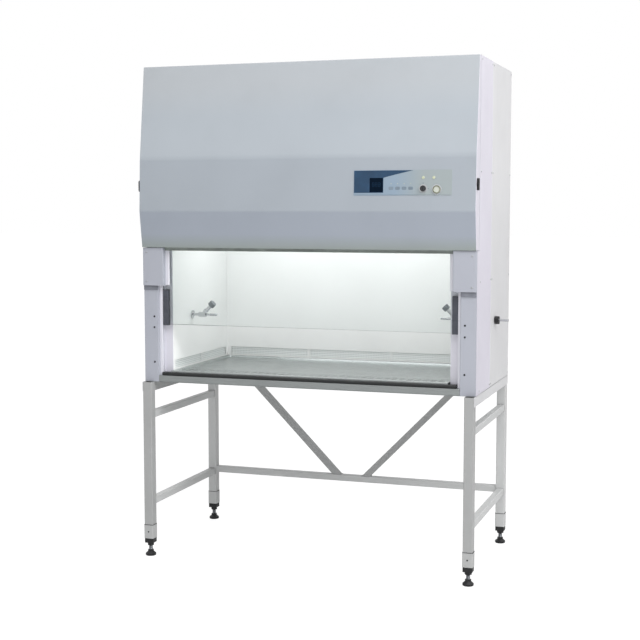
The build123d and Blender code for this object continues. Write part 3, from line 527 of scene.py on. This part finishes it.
def screwHead(scale=1.0):
    # pan head: quarter ellipse from rim to crown, with a cross sunk where |x| or |y| is small
    radius, height = screws["radius"] * scale, screws["height"] * scale
    t = np.linspace(0.0, math.pi / 2, screws["rings"])
    dome = np.stack([radius * np.cos(t), screws["rim"] + height * np.sin(t)], -1)
    profile = np.vstack([[0.0, 0.0], dome])
    head = turned(profile, screws["sides"])
    size = np.hypot(head[..., 0], head[..., 1])
    nearest = np.minimum(np.abs(head[..., 0]), np.abs(head[..., 1]))
    sunk = (nearest < screws["slotWidth"] * scale) & (size < radius * screws["slotReach"])
    sunk[0] = False  # the middle of its flat back
    head[..., 2] -= np.where(sunk, screws["slotDepth"] * height, 0.0)
    return head


facing = {  # the directions across and up of a head that looks each way
    "front": (axisX, axisZ),
    "back": ((-1, 0, 0), axisZ),
    "right": (axisY, axisZ),
    "left": ((0, -1, 0), axisZ),
    "top": (axisX, axisY),
}


def placeScrews(name, spots, way, scale=1.0, finish="zincScrew", slotName="steel"):
    heads = atSpots(screwHead(scale), spots, *facing[way])
    makePiece(name, heads, finish, "cabinet")


def alongEdges(low, high, inset, step):
    # even spots round a rectangle (a, b), inset from its edges, about a step apart
    (a0, b0), (a1, b1) = np.array(low) + inset, np.array(high) - inset
    countA = max(2, int(round((a1 - a0) / step)) + 1)
    countB = max(2, int(round((b1 - b0) / step)) + 1)
    a = np.linspace(a0, a1, countA)
    b = np.linspace(b0, b1, countB)[1:-1]
    rows = [np.stack([a, np.full_like(a, edge)], -1) for edge in (b0, b1)]
    rows += [np.stack([np.full_like(b, edge), b], -1) for edge in (a0, a1)]
    return np.vstack(rows)


blackHead = ("blackScrew", "black_plastic")
edgeScrews = {  # inset from the panel's edges, step between screws
    "back": (0.014, 0.27),
    "sides": (0.014, 0.42),
    "exhaust": (0.007, 0.19),
    "exhaustScale": 0.8,
    "sideFront": -0.285,  # no screw on a side cover in front of this
    "backBead": 0.003,  # the back's upright beads stand out by this much
}
low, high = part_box("back_panel")
spots = alongEdges((low.x, low.z), (high.x, high.z), *edgeScrews["back"])
placeScrews("back_screws", np.insert(spots, 1, high.y - edgeScrews["backBead"], axis=1), "back")

for side, way in ((1, "right"), (-1, "left")):
    for cover in ("front_side_covers", "rear_side_covers"):
        low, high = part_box(cover)
        firstY = max(low.y, edgeScrews["sideFront"])
        spots = alongEdges((firstY, low.z), (high.y, high.z), *edgeScrews["sides"])
        spots = np.insert(spots, 0, side * high.x, axis=1)
        placeScrews(f"{cover}_screws_{way}", spots, way)

low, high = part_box("exhaust_grille")
spots = alongEdges(low.xy, high.xy, *edgeScrews["exhaust"])
spots = np.insert(spots, 2, high.z, axis=1)
placeScrews("exhaust_screws", spots, "top", edgeScrews["exhaustScale"])

postScrews = {"x": 0.683, "heights": (0.855, 1.006, 1.053), "scale": 1.0}
postLow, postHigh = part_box("lower_post_covers")
spots = [(side * postScrews["x"], postLow.y, z) for side in (-1, 1) for z in postScrews["heights"]]
placeScrews("post_screws", spots, "front", postScrews["scale"], *blackHead)

upperScrews = {"x": 0.712, "fromBottom": 0.018, "fromTop": 0.020, "scale": 0.9}
upperLow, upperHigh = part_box("upper_post_covers")
heights = (upperLow.z + upperScrews["fromBottom"], upperHigh.z - upperScrews["fromTop"])
spots = [(side * upperScrews["x"], upperLow.y, z) for side in (-1, 1) for z in heights]
placeScrews("upper_post_screws", spots, "front", upperScrews["scale"])

stepShadowStrips = {
    "inner": 0.6655,
    "height": 0.019,
    "proud": 0.005,
    "round": 0.0015,
    "clear": 0.001,  # short of the cover's outer edge
    "gap": 0.0002,  # off both covers
}


def stepShadowStrip(side):
    # painted shadow: dark strip on the lower cover right under the upper one, standing for the
    # upper cover's shadow; a flat bar with both front edges cut off
    face, top = postLow.y + stepShadowStrips["gap"], upperLow.z - stepShadowStrips["gap"]
    bottom = top - stepShadowStrips["height"]
    front, bend = face - stepShadowStrips["proud"], stepShadowStrips["round"]
    section = [
        (face, bottom), (front + bend, bottom), (front, bottom + bend),
        (front, top - bend), (front + bend, top), (face, top),
    ]
    xs = np.linspace(stepShadowStrips["inner"], postHigh.x - stepShadowStrips["clear"], 4)
    return carried(section, side * xs)


strips = np.stack([stepShadowStrip(side) for side in (-1, 1)])
makePiece("cover_step_shadow_strips", strips, "stepShadowStrip", "cabinet")

collarScrews = {"scale": 0.8}
footRadius = 0.023
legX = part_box("foot_front_right")[1].x - footRadius
collarLow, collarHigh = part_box("leg_collars")
spots = [(side * legX, collarLow.y, 0.5 * (collarLow.z + collarHigh.z)) for side in (-1, 1)]
placeScrews("collar_screws", spots, "front", collarScrews["scale"], *blackHead)
print("stage: screws")

welds = {
    "bead": 0.0021,  # radius of the bead
    "ripple": 0.22,  # share of it that comes and goes
    "pitch": 0.0032,  # from ripple to ripple
    "perRipple": 4,
    "corner": 0.003,  # the tubes' rounded edges
    "around": 7,
}
tubes = {"leg": 0.040, "stretcher": 0.030, "brace": 0.028, "collar": 0.043}  # widths
stand = {
    "stretcherHeights": (0.240, 0.623),
    "railHeight": 0.250,
    "braceFoot": (0.072, 0.265),  # x and z of a brace's middle at each end
    "braceHead": (0.528, 0.728),
    "shadowRingSquash": 0.7,  # height of the black rings on the collars, share of a full bead
}


def squarePath(size, corner, samples):
    # rounded square by arc length s: four straight runs, each with a quarter turn after it;
    # one side is worked out and turned by 90 degrees for each of the others
    half = size / 2 - corner
    run = 2 * half
    turn = corner * math.pi / 2
    s = np.linspace(0.0, 4 * (run + turn), samples, endpoint=False)
    side = np.floor(s / (run + turn)).astype(int)
    along = s - side * (run + turn)
    onTurn = along > run
    bend = np.where(onTurn, (along - run) / corner, 0.0)
    x = np.where(onTurn, half + corner * np.sin(bend), -half + along)
    y = -half - corner * np.cos(bend)
    outX, outY = np.sin(bend), -np.cos(bend)
    turnBy = side * math.pi / 2
    c, n = np.cos(turnBy), np.sin(turnBy)
    place = np.stack([x * c - y * n, x * n + y * c], -1)
    out = np.stack([outX * c - outY * n, outX * n + outY * c], -1)
    return s, place, out


def weldRing(size):
    # bead round a square tube's end: circle of radius bead * (1 + ripple * sin(2 pi s / pitch))
    # carried along the rounded square
    samples = int(4 * size / welds["pitch"] * welds["perRipple"])
    s, place, out = squarePath(size, welds["corner"], samples)
    thick = welds["bead"] * (1.0 + welds["ripple"] * np.sin(2 * math.pi * s / welds["pitch"]))
    v = np.linspace(0.0, 2 * math.pi, welds["around"], endpoint=False)
    flat = place[:, None, :] + thick[:, None, None] * np.cos(v)[None, :, None] * out[:, None, :]
    lift = thick[:, None] * np.sin(v)
    return np.concatenate([flat, lift[..., None]], -1)


def placeWelds(name, ring, spots, across, up, finish="welds"):
    beads = atSpots(ring, spots, across, up)
    makePiece(name, beads, finish, "cabinet", closeRows=True, smooth=True)


rearLow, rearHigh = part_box("rear_legs")
legRearY = 0.5 * (rearLow.y + rearHigh.y)
legFrontY = collarLow.y + tubes["collar"] / 2
legGap = (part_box("front_legs")[1].y, rearLow.y)

ring = weldRing(tubes["stretcher"])
spots = [(s * legX, y, z) for s in (-1, 1) for z in stand["stretcherHeights"] for y in legGap]
placeWelds("stretcher_welds", ring, spots, axisX, axisZ)
# the rear rail's welds wear the painted-light copy of the stand's paint
spots = [(s * (legX - tubes["leg"] / 2), legRearY, stand["railHeight"]) for s in (-1, 1)]
placeWelds("rear_rail_welds", ring, spots, axisY, axisZ, "rearStandPaintedLight")

ends = (stand["braceFoot"], stand["braceHead"])
slant = math.atan2(ends[1][1] - ends[0][1], ends[1][0] - ends[0][0])
ring = weldRing(tubes["brace"]) * [1.0 / math.sin(slant), 1.0, 1.0]  # a slanted tube, cut level
spots = [(s * x, legRearY, z) for s in (-1, 1) for x, z in ends]
placeWelds("brace_welds", ring, spots, axisX, axisY)

# painted shadow: a flat black ring on each collar's top edge, standing for the shadow in the gap
# between collar and leg
ring = weldRing(tubes["leg"]) * [1.0, 1.0, stand["shadowRingSquash"]]
spots = [(s * legX, y, collarHigh.z) for s in (-1, 1) for y in (legFrontY, legRearY)]
placeWelds("collar_gap_shadows", ring, spots, axisX, axisY, "blackStrip")
print("stage: welds")

# the side covers' lower edges, folded plates that reach over the stand's side rails
skirts = {
    "front": -0.3617,
    "low": 0.7287,
    "high": 0.7694,
    "inner": 0.7286,
    "outer": 0.7300,
    "bend": 0.0005,
}


def railSkirt(side):
    # thin plate (x, z) with its outer lower edge cut off, carried along y
    inner, outer, bend = skirts["inner"], skirts["outer"], skirts["bend"]
    low, high = skirts["low"], skirts["high"]
    x = side * np.array([inner, outer - bend, outer, outer, inner])
    z = np.array([low, low, low + bend, high, high])
    ys = np.linspace(skirts["front"], rearHigh.y, 5)
    return closedEnds(np.stack([np.column_stack([x, np.full_like(x, y), z]) for y in ys]))


plates = np.stack([railSkirt(side) for side in (-1, 1)])
makePiece("rail_skirts", plates, "coverPaint", "cabinet")
print("stage: rail skirts")

thread = {
    "low": 0.0252,
    "high": 0.0452,
    "pitch": 0.002,
    "perTurn": 6,
    "core": 0.0079,
    "ridge": 0.0006,
    "sides": 28,
}


def footThread():
    # radius = core + ridge * triangle wave of (height / pitch - angle / turn)
    z = np.arange(thread["low"], thread["high"], thread["pitch"] / thread["perTurn"])
    angle = np.linspace(0.0, 2 * math.pi, thread["sides"], endpoint=False)
    phase = (z[:, None] / thread["pitch"] - angle / (2 * math.pi)) % 1.0
    radius = thread["core"] + thread["ridge"] * (1.0 - np.abs(2.0 * phase - 1.0))
    radius[0] = radius[-1] = 0.0
    height = np.broadcast_to(z[:, None], radius.shape)
    return np.stack([radius * np.cos(angle), radius * np.sin(angle), height], -1)


for foot in ("foot_front_left", "foot_front_right", "foot_rear_left", "foot_rear_right"):
    low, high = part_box(foot)
    centre = ((low.x + high.x) / 2, (low.y + high.y) / 2, 0.0)
    screw = atSpots(footThread(), [centre], axisX, axisY)
    makePiece(f"{foot}_thread", screw, "steel", foot)
print("stage: feet")

panel = {
    "left": 0.229,
    "right": 0.633,
    "top": 1.671,
    "thick": 0.0012,
    "blockRight": 0.353,  # the dark block and the sweep that leaves it
    "blockBottom": 1.5805,
    "sweepTip": 0.474,
    "sweepStart": 1.640,
    "sweepEnd": 0.0004,  # under the top edge
    "sweepCurve": 0.9,
    "border": 0.0015,
    "ink": (-0.0002, 0.0003),  # the print's back and front, off the panel's face
}
footLine = {"margin": 0.004, "low": 1.5733, "high": 1.5741, "ink": (-0.0001, 0.0002)}
facet = {"seamZ": 1.507, "rise": 0.213, "lean": 0.009}  # the middle facet leans back as it rises
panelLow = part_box("control_panel")[0]
facetTilt = math.atan2(facet["lean"], facet["rise"])
facetOut = np.array([0.0, -math.cos(facetTilt), math.sin(facetTilt)])
facetUp = np.array([0.0, math.sin(facetTilt), math.cos(facetTilt)])
facetSlope = facet["lean"] / facet["rise"]
panelBack = panelLow.y + panel["thick"] * math.cos(facetTilt)
seamY = panelBack - facetSlope * (panelLow.z - facet["seamZ"])


def onFacet(x, z, lift):
    # point of the middle facet: y = seam + slope * (z - seam height), then lift along its normal
    x, z, lift = np.broadcast_arrays(x, z, lift)
    y = seamY + facetSlope * (z - facet["seamZ"])
    return np.stack([x, y, z], -1) + lift[..., None] * facetOut


def filmStrip(x, low, high, ink):
    # flat film between two edge lines, as a closed skin: four corners at each x, ends shut
    low = np.broadcast_to(low, x.shape)
    high = np.broadcast_to(high, x.shape)
    back, front = (panel["thick"] + lift for lift in ink)
    corners = ((low, back), (low, front), (high, front), (high, back))
    return closedEnds(np.stack([onFacet(x, z, lift) for z, lift in corners], 1))


def tealPrint():
    # block on the left, then a sweep whose lower edge rises as share^curve to the top edge
    blockX = np.linspace(panel["left"] + panel["border"], panel["blockRight"], 6)
    sweepX = np.linspace(panel["blockRight"], panel["sweepTip"], 24)
    share = (sweepX - sweepX[0]) / (sweepX[-1] - sweepX[0])
    top = panel["top"] - panel["border"]
    climb = top - panel["sweepEnd"] - panel["sweepStart"]
    sweepLow = panel["sweepStart"] + climb * share ** panel["sweepCurve"]
    x = np.concatenate([blockX, sweepX])
    low = np.concatenate([np.full_like(blockX, panel["blockBottom"]), sweepLow])
    return filmStrip(x, low, top, panel["ink"])


makePiece("panel_print", tealPrint(), "printTeal", "fascia")

pads = {
    "power": 5.0,
    "step": 0.55,  # height at the rim, share of the height in the middle
    "rings": 4,
    "around": 32,
}


def roundedPad(x, z, halfX, halfZ, height, power=pads["power"]):
    # squircle |x/a|^p + |z/b|^p = 1, shrinking inward ring by ring to a low dome
    angle = np.linspace(0.0, 2 * math.pi, pads["around"], endpoint=False)
    c, n = np.cos(angle), np.sin(angle)
    reach = (np.abs(c) ** power + np.abs(n) ** power) ** (-1.0 / power)
    inward = np.linspace(0.0, math.pi / 2, pads["rings"])
    share = np.concatenate([[0.0, 1.0], np.cos(inward)])
    dome = height * (pads["step"] + (1.0 - pads["step"]) * np.sin(inward))
    lift = panel["thick"] + np.concatenate([[0.0, 0.0], dome])
    gridX = x + halfX * share[:, None] * (reach * c)
    gridZ = z + halfZ * share[:, None] * (reach * n)
    return onFacet(gridX, gridZ, lift[:, None])


keys = {
    "xs": (0.385, 0.412, 0.439, 0.466),
    "z": 1.5985,
    "size": (0.0095, 0.0062, 0.0006),  # half width, half height, rise
    "lampZ": 1.6165,
    "lampSize": (0.0016, 0.0016, 0.0005),
}
keyPads = [roundedPad(x, keys["z"], *keys["size"]) for x in keys["xs"]]
makePiece("panel_keys", keyPads, "printGrey", "fascia")
keyLamps = [roundedPad(x, keys["lampZ"], *keys["lampSize"], power=2.0) for x in keys["xs"]]
makePiece("panel_key_lamps", keyLamps, "lampLens", "fascia")
xs = np.linspace(panel["left"] + footLine["margin"], panel["right"] - footLine["margin"], 3)
line = filmStrip(xs, footLine["low"], footLine["high"], footLine["ink"])
makePiece("panel_foot_line", line, "printGrey", "fascia")

switches = {
    "key": (0.517, 1.597),
    "button": (0.572, 1.593),
    "sides": 40,
    "fall": 0.7,  # height of a ring's outer edge, share of its inner one
}
rings = {  # inner and outer radius, base off the fascia's sheet, height
    "keyPlate": (0.0125, 0.0165, panel["thick"], 0.0011),
    "buttonPlate": (0.0168, 0.0205, panel["thick"], 0.0014),
    "buttonRim": (0.0121, 0.0157, 0.0051, 0.0006),
}


def placeRing(name, place, ring, finish, body):
    # section (inner, 0), (inner, height), (outer, fall * height), (outer, 0), turned about the
    # facet's own out direction
    inner, outer, base, height = rings[ring]
    profile = [(inner, 0.0), (inner, height), (outer, height * switches["fall"]), (outer, 0.0)]
    spot = [onFacet(*switches[place], base)]
    grid = atSpots(turned(profile, switches["sides"]), spot, axisX, facetUp)
    makePiece(name, grid, finish, body, closeRows=True)


placeRing("key_plate", "key", "keyPlate", "chrome", "fascia")
placeRing("button_plate", "button", "buttonPlate", "aluminium", "fascia")
placeRing("button_rim", "button", "buttonRim", "buttonRim", "start_button")


def inkBar(start, end, width, back, front):
    # flat bar from one point (x, z) of the facet to another, as a closed skin
    start, end = np.asarray(start, float), np.asarray(end, float)
    direction = (end - start) / np.linalg.norm(end - start)
    side = np.array([direction[1], -direction[0]]) * width / 2
    x, z = np.array([start - side, start + side, end + side, end - side]).T
    return closedEnds(np.stack([onFacet(x, z, lift) for lift in (back, front)]))


marks = {
    "ways": ((0.0, 1.0), (1.0, 0.0)),  # above the key and to the right of it
    "from": 0.019,
    "to": 0.024,
    "width": 0.001,
    "ink": (0.0011, 0.00145),
}
keyMiddle = np.array(switches["key"])
bars = []
for way in marks["ways"]:
    start, end = (keyMiddle + marks[distance] * np.array(way) for distance in ("from", "to"))
    bars.append(inkBar(start, end, marks["width"], *marks["ink"]))
makePiece("key_marks", np.stack(bars), "printTeal", "fascia")

# three dim digits of seven strokes each behind the window
display = {
    "middle": (0.3235, 1.6135),
    "digit": 0.0075,  # width of a digit, and half its height
    "pitch": 0.0125,
    "stroke": 0.0011,
    "short": 0.0006,  # left out at each end of a stroke
    "ink": (0.0018, 0.0020),
}


def digitBars(middle):
    # three level strokes, then the two on each side
    w, h = display["digit"] / 2, display["digit"]
    strokes = [((-w, z), (w, z)) for z in (h, 0, -h)]
    strokes += [((x, 0), (x, z)) for x in (-w, w) for z in (-h, h)]
    bars = []
    for stroke in np.array(strokes):
        cut = display["short"] * (stroke[1] - stroke[0]) / np.linalg.norm(stroke[1] - stroke[0])
        start, end = middle + stroke + [cut, -cut]
        bars.append(inkBar(start, end, display["stroke"], *display["ink"]))
    return bars


bars = []
for column in (-1.0, 0.0, 1.0):
    bars += digitBars(np.array(display["middle"]) + [column * display["pitch"], 0.0])
makePiece("display_digits", np.stack(bars), "displayGhost", "fascia")
print("stage: control panel")

# dark line along the fascia's lower bend
fold = {"half": 0.0007, "back": 0.00115, "front": 0.0003, "end": 0.727}
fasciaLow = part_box("fascia_cover")[0]
back, front = fasciaLow.y + fold["back"], fasciaLow.y + fold["front"]
low, high = facet["seamZ"] - fold["half"], facet["seamZ"] + fold["half"]
section = [(back, low), (front, low), (front, high), (back, high)]
line = carried(section, np.linspace(-fold["end"], fold["end"], 5))
makePiece("fascia_fold_line", line, "foldShadow", "fascia")
print("stage: fascia line")

pleats = {"pitch": 0.008, "depth": 0.0048, "base": 0.0004, "rim": 0.019, "sunk": 0.0062}


def pleatPack(node, face):
    # zigzag along x: height = base + depth * (0, 1, 0, 1, ...), over a flat back that is sunk in
    # the filter's frame
    low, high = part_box(node)
    x0, x1 = low.x + pleats["rim"], high.x - pleats["rim"]
    count = int((x1 - x0) / pleats["pitch"]) * 2
    x = np.linspace(x0, x1, count + 1)
    wave = pleats["depth"] * (np.arange(count + 1) % 2)
    y0, y1 = low.y + pleats["rim"], high.y - pleats["rim"]
    sign = 1.0 if face == "top" else -1.0
    floorZ = high.z - pleats["sunk"] if face == "top" else low.z + pleats["sunk"]
    ridge = floorZ + sign * (pleats["base"] + wave)
    back = np.full_like(x, floorZ)
    corners = ((y0, back), (y0, ridge), (y1, ridge), (y1, back))
    grid = np.stack([np.column_stack([x, np.full_like(x, y), z]) for y, z in corners], 1)
    return closedEnds(grid)


for node in ("supply_filter", "exhaust_filter"):
    for face in ("top", "bottom"):
        folds = pleatPack(node, face)
        makePiece(f"{node}_pleats_{face}", folds, "filterMedia", "cabinet")
print("stage: filter pleats")

# perforated sheets behind the return slots, low on the chamber's walls
guard = {
    "low": 0.818,
    "high": 0.864,
    "thick": 0.0008,
    "behind": 0.0032,  # gap from a wall's outer face
    "sideWall": 0.6165,
    "backHalf": 0.598,
    "sideRun": (-0.27, 0.298),  # in y
}


def uprightSheet(a, b):
    # thin upright strip between two points of the plan
    a, b = np.array(a), np.array(b)
    direction = (b - a) / np.linalg.norm(b - a)
    side = np.array([-direction[1], direction[0]]) * guard["thick"] / 2
    line = a + (b - a) * np.linspace(0.0, 1.0, 3)[:, None]
    low, high = guard["low"], guard["high"]
    corners = ((line - side, low), (line + side, low), (line + side, high), (line - side, high))
    return closedEnds(np.stack([np.insert(xy, 2, z, axis=1) for xy, z in corners], 1))


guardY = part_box("chamber_back")[1].y + guard["behind"]
guardX = guard["sideWall"] + guard["behind"]
sheets = [uprightSheet((-guard["backHalf"], guardY), (guard["backHalf"], guardY))]
sheets += [uprightSheet(*[(side * guardX, y) for y in guard["sideRun"]]) for side in (-1, 1)]
makePiece("return_guards", np.stack(sheets), "guardSteel", "cabinet")

lipSeal = {
    "lipY": 0.042,  # the lip's front edge, back from the fascia's lower bend
    "arm": 0.006,  # how far the clip reaches over the lip
    "wall": 0.0016,
    "sheet": 0.0015,  # the lip's own thickness
    "hang": 0.0155,
    "curl": 0.003,
    "front": 0.0006,  # the blade's front, forward of the lip's edge
    "end": 0.631,
}


def sealProfile():
    # clip over the fascia's bottom lip, then a blade that hangs and curls forward as curl * s^2
    y, z = seamY + lipSeal["lipY"], fasciaLow.z
    wall, top, tip = lipSeal["wall"], z + lipSeal["sheet"], y - lipSeal["arm"]
    s = np.linspace(0.0, 1.0, 7)
    curl = -lipSeal["curl"] * s**2
    behind = np.stack([y + wall + curl, top + wall - (lipSeal["hang"] + wall) * s], -1)
    front = np.stack([y - lipSeal["front"] + curl, z - wall - (lipSeal["hang"] - 3 * wall) * s], -1)
    clip = [(tip, z - wall), (tip, z), (y, z), (y, top), (tip, top), (tip, top + wall)]
    return np.vstack([behind, front[::-1], clip])


sealXs = np.linspace(-lipSeal["end"], lipSeal["end"], 9)
makePiece("lip_seal", carried(sealProfile(), sealXs), "sealRubber", "fascia")

guideLips = {
    "inner": 0.6165,
    "outer": 0.640,
    "front": -0.3206,
    "back": -0.3147,
    "low": 1.1885,
    "high": 1.345,
}


def guideLip(side):
    # pressed strip in front of the glass, its inner edge rolled back in a quarter ellipse
    outer, front, back = guideLips["outer"], guideLips["front"], guideLips["back"]
    depth = back - front
    turn = np.linspace(0.0, math.pi / 2, 7)
    rolled = guideLips["inner"] + depth * (1.0 - np.sin(turn))
    x = side * np.concatenate([[outer], rolled, [outer]])
    y = np.concatenate([[front], back - depth * np.cos(turn), [back]])
    heights = (guideLips["low"], guideLips["high"])
    return closedEnds(np.stack([np.column_stack([x, y, np.full_like(x, z)]) for z in heights]))


lips = np.stack([guideLip(side) for side in (-1, 1)])
makePiece("guide_lips", lips, "coverPaintFine", "cabinet")

lampCap = {  # (radius, distance) from the cap's inner end to its outer one
    "profile": (
        (0.0, 0.0), (0.0105, 0.0), (0.0133, 0.0014),
        (0.0133, 0.0195), (0.0122, 0.0205), (0.0, 0.0206),
    ),
    "sides": 32,
}
low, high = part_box("lamp_tube")
capX = high.x - lampCap["profile"][-1][1]
for side, way in ((1, "right"), (-1, "left")):
    start = (side * capX, (low.y + high.y) / 2, (low.z + high.z) / 2)
    cap = atSpots(turned(lampCap["profile"], lampCap["sides"]), [start], *facing[way])
    makePiece(f"lamp_cap_{way}", cap, "aluminium", "cabinet", smooth=True)
print("stage: chamber")

studioLights = {
    "keyLight": {"place": (5.5, -2.6, 5.2), "power": 214.0, "size": 3.0, "aim": (0.0, 0.0, 1.1)},
    "topLight": {"place": (2.0, -3.5, 6.3), "power": 133.0, "size": 3.5, "aim": (0.0, 0.0, 1.1)},
    "lowLight": {"place": (1.0, -5.4, 0.45), "power": 60.0, "size": 2.5, "aim": (0.0, 0.0, 0.4)},
}
chamberGlow = {"place": (0.0, 0.0, 1.486), "power": 4.0, "size": (1.15, 0.5)}
studio = {
    "worldLevel": 0.52,
    "floorHalf": 60.0,
    "floorBounce": 0.8,  # what the floor gives back to the object
    "floorTone": 0.92,  # the floor's own colour as the camera sees it
    "floorWhite": 0.72,  # share of plain white laid over that colour
    "floorGlow": 1.25,  # strength of that white
    "floorRough": 0.95,
    "floorShine": 0.1,
}


def areaLight(name, place, power, size, aim):
    # square lamp turned to look at its aim
    data = bpy.data.lights.new(name, "AREA")
    data.energy = power
    data.size = size
    lamp = bpy.data.objects.new(name, data)
    away = np.array(place) - np.array(aim)
    lamp.location = place
    lamp.rotation_euler = (
        math.atan2(math.hypot(away[0], away[1]), away[2]),
        0.0,
        math.atan2(away[1], away[0]) + math.pi / 2,
    )
    scene.collection.objects.link(lamp)
    return lamp


lamps = {name: areaLight(name, **settings) for name, settings in studioLights.items()}
lamps["lowLight"].visible_glossy = False  # no reflection of it in the sash

glowData = bpy.data.lights.new("chamberLight", "AREA")  # the glow of the chamber's own lamp
glowData.energy = chamberGlow["power"]
glowData.shape = "RECTANGLE"
glowData.size, glowData.size_y = chamberGlow["size"]
chamberLight = bpy.data.objects.new("chamberLight", glowData)  # unturned, so it looks down
chamberLight.location = chamberGlow["place"]
chamberLight.visible_camera = False
scene.collection.objects.link(chamberLight)

world = bpy.data.worlds.new("studio")
world.use_nodes = True
scene.world = world
air = world.node_tree
for node in list(air.nodes):
    air.nodes.remove(node)
white = (1.0, 1.0, 1.0, 1.0)
rays = put(air, "LightPath").outputs  # plain white to the camera, in mirrors and through glass
shows = rays["Is Camera Ray"]
for kind in ("Is Glossy Ray", "Is Transmission Ray"):
    shows = put(air, "Math", {0: shows, 1: rays[kind]}, operation="MAXIMUM").outputs[0]
level = put(air, "MapRange", {"Value": shows, "To Min": studio["worldLevel"], "To Max": 1.0})
sky = put(air, "Background", {"Color": white, "Strength": level.outputs[0]})
out = put(air, "OutputWorld")
air.links.new(sky.outputs[0], out.inputs["Surface"])

half = studio["floorHalf"]
corners = [(-half, -half, 0.0), (half, -half, 0.0), (half, half, 0.0), (-half, half, 0.0)]
floorMesh = bpy.data.meshes.new("floor")
floorMesh.from_pydata(corners, [], [(0, 1, 2, 3)])
floor = bpy.data.objects.new("floor", floorMesh)
scene.collection.objects.link(floor)

floorFinish, tree, shader, place = newMaterial("floorFinish")
seen = put(tree, "LightPath").outputs["Is Camera Ray"]
settings = {"Value": seen, "To Min": studio["floorBounce"], "To Max": studio["floorTone"]}
tone = put(tree, "MapRange", settings)
tree.links.new(tone.outputs[0], shader.inputs["Base Color"])
shader.inputs["Roughness"].default_value = studio["floorRough"]
shader.inputs["Specular IOR Level"].default_value = studio["floorShine"]
glow = put(tree, "Emission", {"Color": white, "Strength": studio["floorGlow"]})
share = put(tree, "Math", {0: seen, 1: studio["floorWhite"]}, operation="MULTIPLY")
blended = put(tree, "MixShader", {0: share.outputs[0], 1: shader.outputs[0], 2: glow.outputs[0]})
tree.links.new(blended.outputs[0], tree.nodes["Material Output"].inputs["Surface"])
floorMesh.materials.append(floorFinish)
print("stage: floor and lights")
